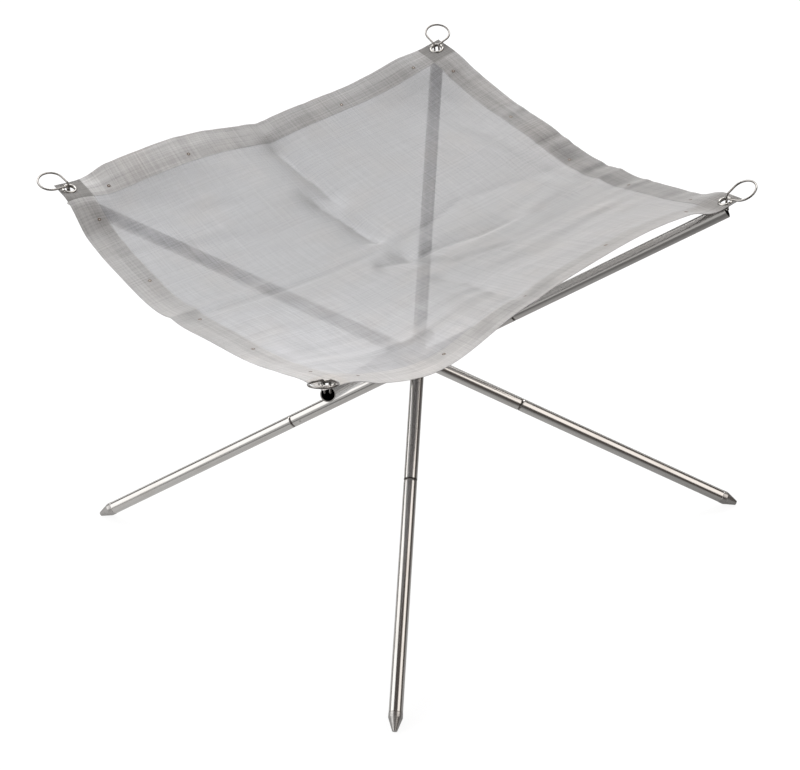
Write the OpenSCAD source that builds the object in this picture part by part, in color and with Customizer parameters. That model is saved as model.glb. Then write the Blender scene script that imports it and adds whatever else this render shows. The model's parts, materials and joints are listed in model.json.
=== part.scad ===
// Folding fire pit: a square sheet of wire cloth hung by its corners from four
// tubes that cross at a hub. Units are millimetres, +Z is up and the feet stand on Z = 0.
// Poles a, b, c and d rise towards +X, -X, +Y and -Y.

/* [Poles] */
// Outer diameter of every tube
tube_od = 12; // [10:0.1:13]
// Wall thickness of every tube
tube_wall = 0.8; // [0.6:0.1:1.2]
// Rise of a pole above the ground, in degrees
pole_angle = 29.4; // [27:0.1:36]
// Length of a lower section, from the tip of its foot to the cut end above it
lower_length = 228; // [180:1:260]
// Length of a middle tube
middle_length = 236; // [180:1:280]
// Length of an upper section, from the cut end below it to its open mouth
upper_length = 211; // [170:1:240]
// Depth that a spigot reaches into the middle tube
spigot_length = 26; // [15:1:40]
// Radial gap between a spigot and the bore around it
spigot_gap = 0.06; // [0.03:0.01:0.1]
// Length of the rounded shoulder between a spigot and its tube
shoulder_length = 2.6; // [1.5:0.1:5]
// Gap between a cut end and the shoulder that it rests over
seat_gap = 0.4; // [0.3:0.1:1]
// Diameter of the pressed detent near each cut end
detent_diameter = 2.6; // [1.5:0.1:3.5]
// Depth of the pressed detent
detent_depth = 0.4; // [0.2:0.05:0.5]
// Distance from a cut end to the middle of its detent
detent_inset = 8.5; // [5:0.5:14]

/* [Feet] */
// Length of the collar that the tube stands on
foot_collar = 4.6; // [3:0.1:8]
// Amount that the collar stands out from the tube all round
foot_collar_proud = 0.15; // [0:0.05:0.5]
// Length of the cone
foot_cone = 11.5; // [8:0.5:18]
// Diameter of the blunt tip
foot_tip = 4.3; // [3:0.1:7]
// Length of the plug inside the tube
foot_plug_length = 18; // [10:1:30]

/* [Hub] */
// Distance from the hub's middle to the axis of each pole
pole_offset = 14.5; // [14.2:0.1:18]
// Width of the square hub block
hub_width = 15; // [12:0.5:15]
// Height of the hub block
hub_height = 26; // [16:1:34]
// Size of the chamfers on the ends of the block
hub_chamfer = 1.5; // [0.5:0.1:3]
// Diameter of a pivot screw
screw_diameter = 4; // [3:0.5:4]
// Radial gap between a pivot screw and the holes in its tube
screw_gap = 0.05; // [0.02:0.01:0.1]
// Depth that a pivot screw reaches into the block
screw_depth = 4.8; // [3:0.1:5]
// Diameter of the head of a pivot screw
head_diameter = 8; // [6:0.5:9]
// Height of the head of a pivot screw
head_height = 3.2; // [2:0.1:4.5]
// Size of the hexagon socket across its flats
socket_flats = 2.5; // [1.5:0.5:3]
// Diameter of the washers on a pivot screw
washer_diameter = 9; // [7:0.5:11]
// Thickness of the washer between the block and a tube
spacer_thickness = 0.7; // [0.5:0.05:0.9]
// Thickness of the washer under a screw head
head_washer_thickness = 0.8; // [0.5:0.1:1.5]
// Gap left between a turning tube and the washers beside it
side_gap = 0.3; // [0.2:0.05:0.3]

/* [Sheet] */
// Thickness of the sheet of wire cloth
sheet_thickness = 0.6; // [0.4:0.1:1]
// Distance from the middle of an eyelet to both edges of its corner
eyelet_inset = 9.6; // [8:0.1:14]
// Height of an eyelet's middle above the middle of the mouth below it
eyelet_lift = 8.8; // [8:0.1:12]
// Fall of a corner of the sheet towards the hub, in degrees
corner_fall = 13; // [8:1:16]
// Flat reach of a corner before the sheet starts to wave
corner_flat = 10; // [9:1:30]
// Distance from an eyelet at which the wave is full
corner_blend = 45; // [35:1:120]
// Height of the back left edge against its corners: bow, skew and ripple
wave_back_left = [-9.5, 6.5, 2.5, -1]; // [-60:0.5:60]
// Height of the back right edge against its corners: bow, skew and ripple
wave_back_right = [-42, 3.5, 0, -1]; // [-60:0.5:60]
// Height of the front right edge against its corners: bow, skew and ripple
wave_front_right = [-16.5, -18, -3.5, 0]; // [-60:0.5:60]
// Height of the front left edge against its corners: bow, skew and ripple
wave_front_left = [-47, -10, -2.5, -1]; // [-60:0.5:60]
// Outward bow of the four edges, in the order of the lines above
edge_bow = [3, 7, -8, 3]; // [-12:1:12]

/* [Eyelets] */
// Outer diameter of an eyelet's flange
eyelet_diameter = 14; // [12:0.5:16]
// Diameter of the hole through an eyelet
eyelet_hole = 9; // [8:0.1:10]
// Wall of an eyelet's barrel
eyelet_wall = 0.5; // [0.3:0.1:0.6]
// Height of the rolled flange above the sheet
flange_height = 1; // [0.6:0.1:1.2]
// Thickness of the washer below the sheet
back_washer_thickness = 0.5; // [0.3:0.1:0.8]

/* [Clips] */
// Diameter of the spring wire
wire_diameter = 1.8; // [1.4:0.1:2.2]
// Outer diameter of the finger ring
ring_diameter = 24.5; // [18:0.1:28]
// Distance from the stems to the middle of the finger ring
ring_reach = 15; // [14.5:0.1:20]
// Distance between the two prongs in the mouth of a tube
prong_spread = 4.2; // [3:0.1:4.6]
// Height of the prongs above the axis of the tube
prong_rise = 1.6; // [0.5:0.1:2]
// Depth that the prongs reach into the tube
prong_depth = 12; // [6:1:20]
// Rise of each finger ring above the level, in degrees, for poles a to d
ring_rise = [23, 13, 19, 21]; // [12:1:45]
// Twist of each finger ring about its own legs, in degrees, for poles a to d
ring_twist = [12, -10, 8, 0]; // [-12:1:12]

/* [Hidden] */
$fn = 48;
POLES = ["a", "b", "c", "d"];

tube_radius = tube_od / 2;
bore_radius = tube_radius - tube_wall;
spigot_radius = bore_radius - spigot_gap;
pole_length = lower_length + middle_length + upper_length;
// Distance along a pole from the tip of its foot to the pivot in its middle tube
pivot_distance = lower_length + middle_length / 2;
// The lower rim of the blunt tip touches the ground
tip_height = foot_tip / 2 * cos(pole_angle);
hub_z = tip_height + pivot_distance * sin(pole_angle);
mouth_r = (pole_length - pivot_distance) * cos(pole_angle);
mouth_z = tip_height + pole_length * sin(pole_angle);
// Turn of each pole's heading about Z, in the order of POLES
HEADINGS = [0, 180, 90, 270];

// Middle of an eyelet: inboard of the mouth, and above it
eyelet_back = 1;
eyelet_r = mouth_r - eyelet_back;
eyelet_z = mouth_z + eyelet_lift;
// Distance and bearing of the eyelets and of the sheet's corners from the hub's axis
eyelet_reach = norm([eyelet_r, pole_offset]);
corner_bearing = -atan2(pole_offset, eyelet_r);
corner_reach = eyelet_reach + eyelet_inset * sqrt(2);
corner_z = eyelet_z + eyelet_inset * sqrt(2) * tan(corner_fall);
// Number of panels along one side of the sheet
panels = 26;

function mix(a, b, t) = a + (b - a) * t;
function smooth(t) = let (s = min(max(t, 0), 1)) s * s * (3 - 2 * s);
function heading(pole) = HEADINGS[search([pole], POLES)[0]];
function wave(w, t) = w * [for (k = [1 : len(w)]) sin(180 * k * t)];

// Places its children on a pole: X runs up the pole from the tip of the foot
module on_pole(pole) {
    rotate([0, 0, heading(pole)])
        translate([-pivot_distance * cos(pole_angle), -pole_offset, tip_height])
            rotate([0, -pole_angle, 0])
                children();
}

// Places its children at a pivot: Z runs from the hub's middle out along the screw
module at_pivot(pole) {
    rotate([0, 0, heading(pole)])
        translate([0, 0, hub_z])
            rotate([90, 0, 0])
                children();
}

// Places its children at the middle of an eyelet, square to the sheet's corner
module at_eyelet(pole) {
    rotate([0, 0, heading(pole)])
        translate([eyelet_r, -pole_offset, eyelet_z])
            rotate([0, 0, corner_bearing])
                rotate([0, -corner_fall, 0])
                    children();
}

module rod(radius, from, to) {
    translate([from, 0, 0]) rotate([0, 90, 0]) cylinder(r = radius, h = to - from);
}

// ---- Hub ----

module hub_block() {
    half = hub_width / 2;
    color("silver")
        difference() {
            translate([0, 0, hub_z - hub_height / 2])
                linear_extrude(hub_height) square(hub_width, center = true);
            for (end = [0, 1])
                translate([0, 0, hub_z])
                    mirror([0, 0, end])
                        for (side = [0 : 3])
                            rotate([0, 0, side * 90])
                                translate([half, 0, hub_height / 2])
                                    rotate([0, 45, 0])
                                        cube([hub_chamfer * sqrt(2), hub_width + 1,
                                              hub_chamfer * sqrt(2)], center = true);
            for (pole = POLES)
                at_pivot(pole)
                    translate([0, 0, half - screw_depth])
                        cylinder(d = screw_diameter, h = screw_depth + 1);
        }
}

// Everything on a screw, measured outwards from the hub's middle
spacer_from = hub_width / 2;
tube_outside = pole_offset + tube_radius;
head_washer_from = tube_outside + side_gap;
head_from = head_washer_from + head_washer_thickness;

module pivot_screw() {
    shank_from = hub_width / 2 - screw_depth;
    socket_depth = head_height * 0.55;
    difference() {
        union() {
            translate([0, 0, shank_from])
                cylinder(d = screw_diameter, h = head_from - shank_from + 0.5);
            translate([0, 0, head_from])
                rotate_extrude()
                    intersection() {
                        square([head_diameter / 2, head_height]);
                        translate([0, head_height - head_sphere])
                            circle(r = head_sphere, $fn = 96);
                    }
        }
        translate([0, 0, head_from + head_height - socket_depth])
            cylinder(r = socket_flats / sqrt(3), h = socket_depth + 1, $fn = 6);
    }
}
// Radius of the domed head, so that its rim keeps a third of the head's height
head_sphere = (pow(head_diameter / 2, 2) + pow(head_height * 2 / 3, 2)) / (2 * head_height * 2 / 3);

module pivot_screws() {
    color("lightgray") for (pole = POLES) at_pivot(pole) pivot_screw();
}

module screw_washers(from, thickness) {
    for (pole = POLES)
        at_pivot(pole)
            translate([0, 0, from])
                difference() {
                    cylinder(d = washer_diameter, h = thickness);
                    translate([0, 0, -1])
                        cylinder(r = screw_diameter / 2 + screw_gap, h = thickness + 2);
                }
}

module spacer_washers() {
    color("gray") screw_washers(spacer_from, spacer_thickness);
}

module head_washers() {
    color("gray") screw_washers(head_washer_from, head_washer_thickness);
}

// ---- Poles ----

module middle_tube(pole) {
    from = lower_length;
    to = lower_length + middle_length;
    dimple_sphere = (pow(detent_diameter / 2, 2) + pow(detent_depth, 2)) / (2 * detent_depth);
    color("gainsboro")
        on_pole(pole)
            difference() {
                rod(tube_radius, from, to);
                rod(bore_radius, from - 1, to + 1);
                translate([pivot_distance, 0, 0])
                    rotate([90, 0, 0])
                        cylinder(r = screw_diameter / 2 + screw_gap, h = tube_od + 2, center = true);
                for (place = [from + detent_inset, to - detent_inset])
                    translate([place, -tube_radius - dimple_sphere + detent_depth, 0])
                        sphere(r = dimple_sphere);
            }
}

// Outline of a tube with a spigot on its far end, to be turned about X: it starts
// at the plain end, and the wall keeps its thickness through the shoulder
function swaged_wall(plain_end, shoulder, spigot_end) =
    let (steps = 6, step = tube_radius - spigot_radius,
         curve = [for (i = [0 : steps]) let (a = 90 * i / steps)
             [shoulder + shoulder_length * sin(a), -step * (1 - cos(a))]])
    concat([[plain_end, tube_radius]],
        [for (p = curve) [p[0], tube_radius + p[1]]],
        [[spigot_end, spigot_radius], [spigot_end, spigot_radius - tube_wall]],
        [for (i = [steps : -1 : 0]) [curve[i][0], bore_radius + curve[i][1]]],
        [[plain_end, bore_radius]]);

module swaged_tube(plain_end, shoulder, spigot_end) {
    rotate([0, 90, 0])
        rotate([0, 0, 90])
            rotate_extrude()
                polygon([for (p = swaged_wall(plain_end, shoulder, spigot_end)) [p[1], p[0]]]);
}

module lower_tube(pole) {
    seat = lower_length - seat_gap;
    color("gainsboro")
        on_pole(pole)
            swaged_tube(foot_cone + foot_collar, seat - shoulder_length, lower_length + spigot_length);
}

module upper_tube(pole) {
    cut = lower_length + middle_length;
    color("gainsboro")
        on_pole(pole)
            translate([pole_length, 0, 0])
                rotate([0, 180, 0])
                    swaged_tube(0, upper_length - seat_gap - shoulder_length,
                        upper_length + spigot_length);
}

module foot_plug(pole) {
    collar_radius = tube_radius + foot_collar_proud;
    collar_to = foot_cone + foot_collar;
    edge = 0.4;
    color("darkgray")
        on_pole(pole)
            rotate([0, 90, 0])
                rotate_extrude()
                    polygon([[0, 0], [foot_tip / 2, 0], [collar_radius, foot_cone],
                        [collar_radius, collar_to - edge], [collar_radius - edge, collar_to],
                        [bore_radius, collar_to], [bore_radius, collar_to + foot_plug_length - 1],
                        [bore_radius - 1, collar_to + foot_plug_length],
                        [0, collar_to + foot_plug_length]]);
}

// ---- Sheet ----

// Corners in the order left, back, right, front
function corner(k) =
    let (bearing = corner_bearing + 180 - 90 * k)
    [corner_reach * cos(bearing), corner_reach * sin(bearing), corner_z];

// A point of the edge from corner i to corner j, bowed outwards and waved up
function edge_point(i, j, w, bow, t) =
    let (p = mix(corner(i), corner(j), t), middle = (corner(i) + corner(j)) / 2,
         out = [middle[0], middle[1], 0] / norm([middle[0], middle[1]]))
    p + out * bow * sin(180 * t) + [0, 0, wave(w, t)];

// The sheet is a patch blended between its four edges: u runs from the left corner to
// the back one, and v from the left corner to the front one
function patch(u, v) =
    let (bl = edge_point(0, 1, wave_back_left, edge_bow[0], u),
         fr = edge_point(3, 2, wave_front_right, edge_bow[2], u),
         fl = edge_point(0, 3, wave_front_left, edge_bow[3], v),
         br = edge_point(1, 2, wave_back_right, edge_bow[1], v))
    mix(bl, fr, v) + mix(fl, br, u)
        - mix(mix(corner(0), corner(1), u), mix(corner(3), corner(2), u), v);

// Height of the flat corner that the eyelet sits in, at a point nearest to corner k
function corner_plane(p, k) =
    let (c = corner(k))
    corner_z - (corner_reach - (p[0] * c[0] + p[1] * c[1]) / corner_reach) * tan(corner_fall);

// The patch, eased into the flat corner near each eyelet
function sheet_point(u, v) =
    let (p = patch(u, v), k = u < 0.5 ? (v < 0.5 ? 0 : 3) : (v < 0.5 ? 1 : 2),
         c = corner(k) * eyelet_reach / corner_reach,
         away = norm([p[0] - c[0], p[1] - c[1]]),
         share = smooth((away - corner_flat) / (corner_blend - corner_flat)))
    [p[0], p[1], mix(corner_plane(p, k), p[2], share)];

// Panels are finer towards the corners
function spread(i) = let (t = i / panels) t - 0.55 * sin(360 * t) / (2 * PI);

module mesh_sheet() {
    row = panels + 1;
    layer = row * row;
    grid = [for (i = [0 : panels]) for (j = [0 : panels]) sheet_point(spread(i), spread(j))];
    rim = concat([for (i = [0 : panels - 1]) i * row], [for (j = [0 : panels - 1]) panels * row + j],
        [for (i = [0 : panels - 1]) (panels - i) * row + panels], [for (j = [0 : panels - 1]) panels - j]);
    color("lightslategray")
        difference() {
            polyhedron(
                points = [for (side = [1, -1]) for (p = grid) p + [0, 0, side * sheet_thickness / 2]],
                faces = concat(
                    [for (i = [0 : panels - 1]) for (j = [0 : panels - 1])
                        for (f = let (a = i * row + j)
                            [[a, a + 1, a + row + 1], [a, a + row + 1, a + row]]) f],
                    [for (i = [0 : panels - 1]) for (j = [0 : panels - 1])
                        for (f = let (a = layer + i * row + j)
                            [[a, a + row + 1, a + 1], [a, a + row, a + row + 1]]) f],
                    [for (n = [0 : len(rim) - 1])
                        for (f = let (a = rim[n], b = rim[(n + 1) % len(rim)])
                            [[a, b, b + layer], [a, b + layer, a + layer]]) f]));
            for (pole = POLES)
                at_eyelet(pole) cylinder(d = eyelet_hole + 2 * eyelet_wall + 0.1, h = 8, center = true);
        }
}

// ---- Eyelets ----

sheet_half = sheet_thickness / 2 / cos(corner_fall);

module eyelet(pole) {
    hole = eyelet_hole / 2;
    barrel = hole + eyelet_wall;
    below = -sheet_half - back_washer_thickness;
    color("whitesmoke")
        at_eyelet(pole)
            difference() {
                union() {
                    translate([0, 0, sheet_half + 0.05])
                        rotate_extrude()
                            intersection() {
                                translate([hole, 0]) square([eyelet_diameter / 2 - hole, flange_height]);
                                translate([(eyelet_diameter / 2 + hole) / 2, flange_height - crown])
                                    circle(r = crown, $fn = 96);
                            }
                    translate([0, 0, below - 0.4])
                        cylinder(r = barrel, h = sheet_half - below + 0.6);
                }
                translate([0, 0, below - 1]) cylinder(r = hole, h = 4 + flange_height);
            }
}
// Radius of the crowned flange, so that it falls to its rim over half its width
crown = (pow((eyelet_diameter - eyelet_hole) / 4, 2) + pow(flange_height * 0.8, 2))
    / (2 * flange_height * 0.8);

module back_washer(pole) {
    color("gray")
        at_eyelet(pole)
            translate([0, 0, -sheet_half - 0.05 - back_washer_thickness])
                difference() {
                    cylinder(d = eyelet_diameter - 0.5, h = back_washer_thickness);
                    translate([0, 0, -1])
                        cylinder(r = eyelet_hole / 2 + eyelet_wall, h = back_washer_thickness + 2);
                }
}

// ---- Clips ----

// A tube of round section along a list of points
module sweep(points, diameter, sides = 10) {
    last = len(points) - 1;
    tangents = [for (i = [0 : last]) let (t = points[min(i + 1, last)] - points[max(i - 1, 0)]) t / norm(t)];
    // The section's first arm is carried along from ring to ring, so that it never twists
    arms = [for (i = 0, a = cross(tangents[0], [0, 0.31, 1]), n = a / norm(a); i <= last;
        i = i + 1, a = i <= last ? n - tangents[i] * (n * tangents[i]) : n, n = a / norm(a)) n];
    rings = [for (i = [0 : last]) for (k = [0 : sides - 1])
        let (w = 360 * k / sides)
        points[i] + (arms[i] * cos(w) + cross(tangents[i], arms[i]) * sin(w)) * diameter / 2];
    polyhedron(points = rings, faces = concat(
        [[for (k = [0 : sides - 1]) k]],
        [for (i = [0 : last - 1]) for (k = [0 : sides - 1])
            for (f = let (a = i * sides + k, b = i * sides + (k + 1) % sides)
                [[a, b + sides, b], [a, a + sides, b + sides]]) f],
        [[for (k = [sides - 1 : -1 : 0]) last * sides + k]]));
}

// Bends of a clip's wire, seen from the mouth: X runs outwards, Y sideways and Z up.
// The wire comes out of the tube, rises as a stem through the eyelet, bends over its
// flange and runs straight to the ring, which it meets without a corner.
elbow_x = 1.1;
elbow_rise = 1.6;
stem_x = -0.2;
stem_top = eyelet_lift + sheet_half + flange_height + wire_diameter / 2 + 2.2;
bend_reach = 2.4;
bend_steps = 4;
leg_half = prong_spread / 2 + 0.2;
ring_steps = 12;
ring_radius = (ring_diameter - wire_diameter) / 2;
// Angle, from the ring's far end, at which a leg touches the ring
ring_touch = atan2(leg_half, -ring_reach) - acos(ring_radius / norm([ring_reach, leg_half]));

// A point of the ring's plane, which is twisted about the legs and raised
function ring_plane(along, side, rise, twist) =
    let (height = side * sin(twist))
    [stem_x + along * cos(rise) - height * sin(rise), side * cos(twist),
        stem_top + along * sin(rise) + height * cos(rise)];

// A point of the ring at an angle from its far end
function ring_point(angle, rise, twist) =
    ring_plane(ring_reach + ring_radius * cos(angle), ring_radius * sin(angle), rise, twist);

// A point of a bend between two ends, which would meet in a corner
function bent(from, corner, to, t) = mix(mix(from, corner, t), mix(corner, to, t), t);

// Half of a clip's wire, from the end of its prong to near the far end of its ring
function half_clip(rise, twist) =
    let (prong = prong_spread / 2, outwards = [cos(pole_angle), 0, sin(pole_angle)],
         bend = [-sin(pole_angle), 0, cos(pole_angle)] * prong_rise + [0, prong, 0],
         top = ring_plane(0, leg_half, rise, twist), touch = ring_point(ring_touch, rise, twist),
         over = top + bend_reach * (touch - top) / norm(touch - top))
    concat(
        [bend - outwards * prong_depth, bend - outwards * prong_depth / 3, bend,
         [elbow_x, prong, bend[2] + elbow_rise * 0.55],
         [elbow_x * 0.6, prong, bend[2] + elbow_rise * 1.3],
         [stem_x, prong, bend[2] + elbow_rise * 2.4],
         [stem_x, prong, eyelet_lift + 0.5]],
        [for (i = [0 : bend_steps]) bent([stem_x, prong, top[2] - bend_reach], top, over, i / bend_steps)],
        [mix(over, touch, 0.5)],
        [for (i = [0 : ring_steps - 1]) ring_point(ring_touch * (1 - i / ring_steps), rise, twist)]);

// The wire's other half, from the far end of the ring back to the end of its prong
function other_half(rise, twist) =
    let (points = half_clip(rise, -twist))
    [for (i = [len(points) - 1 : -1 : 0]) [points[i][0], -points[i][1], points[i][2]]];

module spring_clip(pole) {
    rise = ring_rise[search([pole], POLES)[0]];
    twist = ring_twist[search([pole], POLES)[0]];
    color("white")
        rotate([0, 0, heading(pole)])
            translate([mouth_r, -pole_offset, mouth_z])
                sweep(concat(half_clip(rise, twist), [ring_point(0, rise, twist)],
                    other_half(rise, twist)), wire_diameter);
}

hub_block();
pivot_screws();
spacer_washers();
head_washers();
mesh_sheet();
for (pole = POLES) {
    middle_tube(pole);
    lower_tube(pole);
    foot_plug(pole);
    upper_tube(pole);
    eyelet(pole);
    back_washer(pole);
    spring_clip(pole);
}
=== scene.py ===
"""Dresses a folding fire pit: a square sheet of wire cloth hung from four crossed tubes.

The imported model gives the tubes, feet, hub, eyelets and washers. This script gives every
one of them its finish, and builds the sheet with its hem and spot welds, and the four
spring wire clips. Lengths in the classes are millimetres, and meshes are in metres.
"""

from __future__ import annotations

import json
import logging
import math
from dataclasses import dataclass
from enum import Enum
from typing import Dict, List, Optional, Sequence, Tuple, Union

import bpy
import numpy as np
from mathutils import Matrix, Vector

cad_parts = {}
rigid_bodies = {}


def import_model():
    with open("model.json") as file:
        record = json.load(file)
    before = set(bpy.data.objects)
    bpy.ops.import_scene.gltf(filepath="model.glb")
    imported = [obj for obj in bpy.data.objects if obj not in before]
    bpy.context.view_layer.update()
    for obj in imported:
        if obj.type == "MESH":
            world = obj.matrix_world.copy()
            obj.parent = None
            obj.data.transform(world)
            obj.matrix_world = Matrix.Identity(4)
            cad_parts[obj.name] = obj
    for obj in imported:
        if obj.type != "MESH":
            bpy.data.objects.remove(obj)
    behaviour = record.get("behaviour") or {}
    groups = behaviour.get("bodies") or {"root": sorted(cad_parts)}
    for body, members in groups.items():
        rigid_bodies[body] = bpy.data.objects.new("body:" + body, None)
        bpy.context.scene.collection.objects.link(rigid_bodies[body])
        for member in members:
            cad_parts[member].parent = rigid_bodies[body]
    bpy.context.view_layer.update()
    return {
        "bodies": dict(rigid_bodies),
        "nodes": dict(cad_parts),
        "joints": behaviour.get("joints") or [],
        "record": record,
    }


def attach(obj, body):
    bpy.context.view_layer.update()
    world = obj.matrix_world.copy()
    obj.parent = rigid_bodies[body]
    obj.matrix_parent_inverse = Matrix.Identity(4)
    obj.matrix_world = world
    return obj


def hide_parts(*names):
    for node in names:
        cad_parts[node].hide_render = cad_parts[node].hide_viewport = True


LOG = logging.getLogger("fire_pit")
MM = 0.001
Colour = Tuple[float, float, float]
Array = np.ndarray


# ---- Shader maths ----


class Value:
    """One output of a shader tree, which can be used in sums as a number can."""

    def __init__(self, tree: "ShaderTree", socket: bpy.types.NodeSocket) -> None:
        """Keeps the tree and the socket.

        Args:
            tree: The tree that new nodes go into.
            socket: The output that this value stands for.
        """
        self.tree = tree
        self.socket = socket

    def _math(self, operation: str, *terms: "Term") -> "Value":
        """Adds one Math node and returns its result."""
        return self.tree.node("ShaderNodeMath", {"operation": operation}, dict(enumerate(terms)))

    def __add__(self, other: "Term") -> "Value":
        """Sum."""
        return self._math("ADD", self, other)

    def __radd__(self, other: "Term") -> "Value":
        """Sum, with the number first."""
        return self._math("ADD", other, self)

    def __sub__(self, other: "Term") -> "Value":
        """Difference."""
        return self._math("SUBTRACT", self, other)

    def __rsub__(self, other: "Term") -> "Value":
        """Difference, with the number first."""
        return self._math("SUBTRACT", other, self)

    def __mul__(self, other: "Term") -> "Value":
        """Product."""
        return self._math("MULTIPLY", self, other)

    def __rmul__(self, other: "Term") -> "Value":
        """Product, with the number first."""
        return self._math("MULTIPLY", other, self)

    def __truediv__(self, other: "Term") -> "Value":
        """Quotient."""
        return self._math("DIVIDE", self, other)

    def __rtruediv__(self, other: "Term") -> "Value":
        """Quotient, with the number first."""
        return self._math("DIVIDE", other, self)

    def __pow__(self, other: "Term") -> "Value":
        """Power."""
        return self._math("POWER", self, other)

    def __lt__(self, other: "Term") -> "Value":
        """One where this is less than the other, and nought elsewhere."""
        return self._math("LESS_THAN", self, other)

    def __gt__(self, other: "Term") -> "Value":
        """One where this is more than the other, and nought elsewhere."""
        return self._math("GREATER_THAN", self, other)

    def cosine(self) -> "Value":
        """Cosine of this value in radians."""
        return self._math("COSINE", self)

    def root(self) -> "Value":
        """Square root."""
        return self._math("SQRT", self)

    def at_least(self, floor: float) -> "Value":
        """The larger of this value and a floor."""
        return self._math("MAXIMUM", self, floor)

    def least(self, other: "Term") -> "Value":
        """The smaller of this value and another."""
        return self._math("MINIMUM", self, other)

    def rise(self, low: float, high: float) -> "Value":
        """A smooth step, which falls instead if low is the larger.

        Args:
            low: Value up to which the result is nought.
            high: Value from which the result is one.

        Returns:
            The step.
        """
        return self.tree.node(
            "ShaderNodeMapRange",
            {"interpolation_type": "SMOOTHSTEP", "clamp": True},
            {"Value": self, "From Min": low, "From Max": high, "To Min": 0.0, "To Max": 1.0},
        )

    def band(self, low: float, high: float, soft: float) -> "Value":
        """One between low and high, with soft edges outside them."""
        return self.rise(low - soft, low) * self.rise(high + soft, high)


Term = Union[Value, float, int]


class ShaderTree:
    """The nodes of one material or world."""

    def __init__(self, tree: bpy.types.NodeTree) -> None:
        """Clears the tree.

        Args:
            tree: The node tree to fill.
        """
        self.tree = tree
        tree.nodes.clear()

    def node(
        self,
        kind: str,
        settings: Optional[Dict[str, object]] = None,
        inputs: Optional[Dict[Union[str, int], object]] = None,
        output: Union[str, int] = 0,
    ) -> Value:
        """Adds a node.

        Args:
            kind: The node's type.
            settings: Its properties, set before its sockets.
            inputs: Values or links, by the name or number of the socket.
            output: The output to return, by name or number.

        Returns:
            The chosen output.
        """
        made = self.tree.nodes.new(kind)
        for name, setting in (settings or {}).items():
            setattr(made, name, setting)
        for key, given in (inputs or {}).items():
            socket = made.inputs[key]
            if isinstance(given, Value):
                self.tree.links.new(given.socket, socket)
            else:
                socket.default_value = given
        return Value(self, made.outputs[output] if len(made.outputs) else None)

    def local(self) -> Value:
        """Place in the piece's own space, which is the row frame at rest, in metres."""
        return self.node("ShaderNodeTexCoord", output="Object")

    def facing(self) -> Value:
        """Normal in the piece's own space."""
        return self.node("ShaderNodeTexCoord", output="Normal")

    def uv(self, name: str) -> Tuple[Value, Value]:
        """The two coordinates of a UV map."""
        place = self.node("ShaderNodeUVMap", {"uv_map": name})
        return self.part(place, 0), self.part(place, 1)

    def part(self, vector: Value, axis: int) -> Value:
        """One coordinate of a vector."""
        return self.node("ShaderNodeSeparateXYZ", inputs={0: vector}, output=axis)

    def vector(self, x: Term, y: Term, z: Term) -> Value:
        """A vector from three values."""
        return self.node("ShaderNodeCombineXYZ", inputs={0: x, 1: y, 2: z})

    def moved(self, vector: Value, by: Sequence[float]) -> Value:
        """A vector with a constant added."""
        return self.node("ShaderNodeVectorMath", {"operation": "ADD"}, {0: vector, 1: tuple(by)})

    def along(self, vector: Value, direction: Sequence[float]) -> Value:
        """The share of a vector along a constant direction."""
        ends = {0: vector, 1: tuple(direction)}
        return self.node("ShaderNodeVectorMath", {"operation": "DOT_PRODUCT"}, ends, "Value")

    def noise(self, place: Value, scale: float, detail: float = 2.0, roughness: float = 0.5) -> Value:
        """Smooth noise about 0.5."""
        inputs = {"Vector": place, "Scale": scale, "Detail": detail, "Roughness": roughness}
        return self.node("ShaderNodeTexNoise", {"noise_dimensions": "3D"}, inputs)

    def blend(self, share: Term, first: Union[Value, Colour], second: Union[Value, Colour]) -> Value:
        """A colour between two others."""
        first, second = (c if isinstance(c, Value) else (*c, 1.0) for c in (first, second))
        return self.node("ShaderNodeMix", {"data_type": "RGBA"}, {0: share, 6: first, 7: second}, 2)

    def shaded(self, colour: Union[Value, Colour], amount: Value) -> Value:
        """A colour made lighter or darker.

        Args:
            colour: The colour.
            amount: The factor on each of its three parts.

        Returns:
            The product.
        """
        grey = self.node("ShaderNodeCombineColor", inputs={0: amount, 1: amount, 2: amount})
        full = colour if isinstance(colour, Value) else (*colour, 1.0)
        settings = {"data_type": "RGBA", "blend_type": "MULTIPLY"}
        return self.node("ShaderNodeMix", settings, {0: 1.0, 6: full, 7: grey}, 2)

    def bump(self, height: Value, depth: float, strength: float = 1.0) -> Value:
        """A normal tilted by a height from 0 to 1.

        Args:
            height: The height.
            depth: What a height of 1 stands for, in metres.
            strength: Share of the effect.

        Returns:
            The normal.
        """
        return self.node("ShaderNodeBump", inputs={"Strength": strength, "Distance": depth, "Height": height})

    def finish(self, sockets: Dict[str, object]) -> None:
        """Ends a material in one Principled shader.

        Args:
            sockets: Values or links for the shader's sockets.
        """
        shader = self.node("ShaderNodeBsdfPrincipled", inputs=sockets)
        self.node("ShaderNodeOutputMaterial", inputs={"Surface": shader})


# ---- The stand's measures ----


@dataclass(frozen=True)
class Pole:
    """One of the four poles.

    Attributes:
        letter: Its letter in the names of nodes and bodies.
        heading: The way that it rises, in degrees about Z from +X.
        ring_rise: Rise of its clip's ring above the level, in degrees.
        ring_twist: Twist of that ring about its legs, in degrees.
    """

    letter: str
    heading: float
    ring_rise: float
    ring_twist: float

    def turn(self) -> Matrix:
        """Rotation to the pole's heading."""
        return Matrix.Rotation(math.radians(self.heading), 4, "Z")


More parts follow.
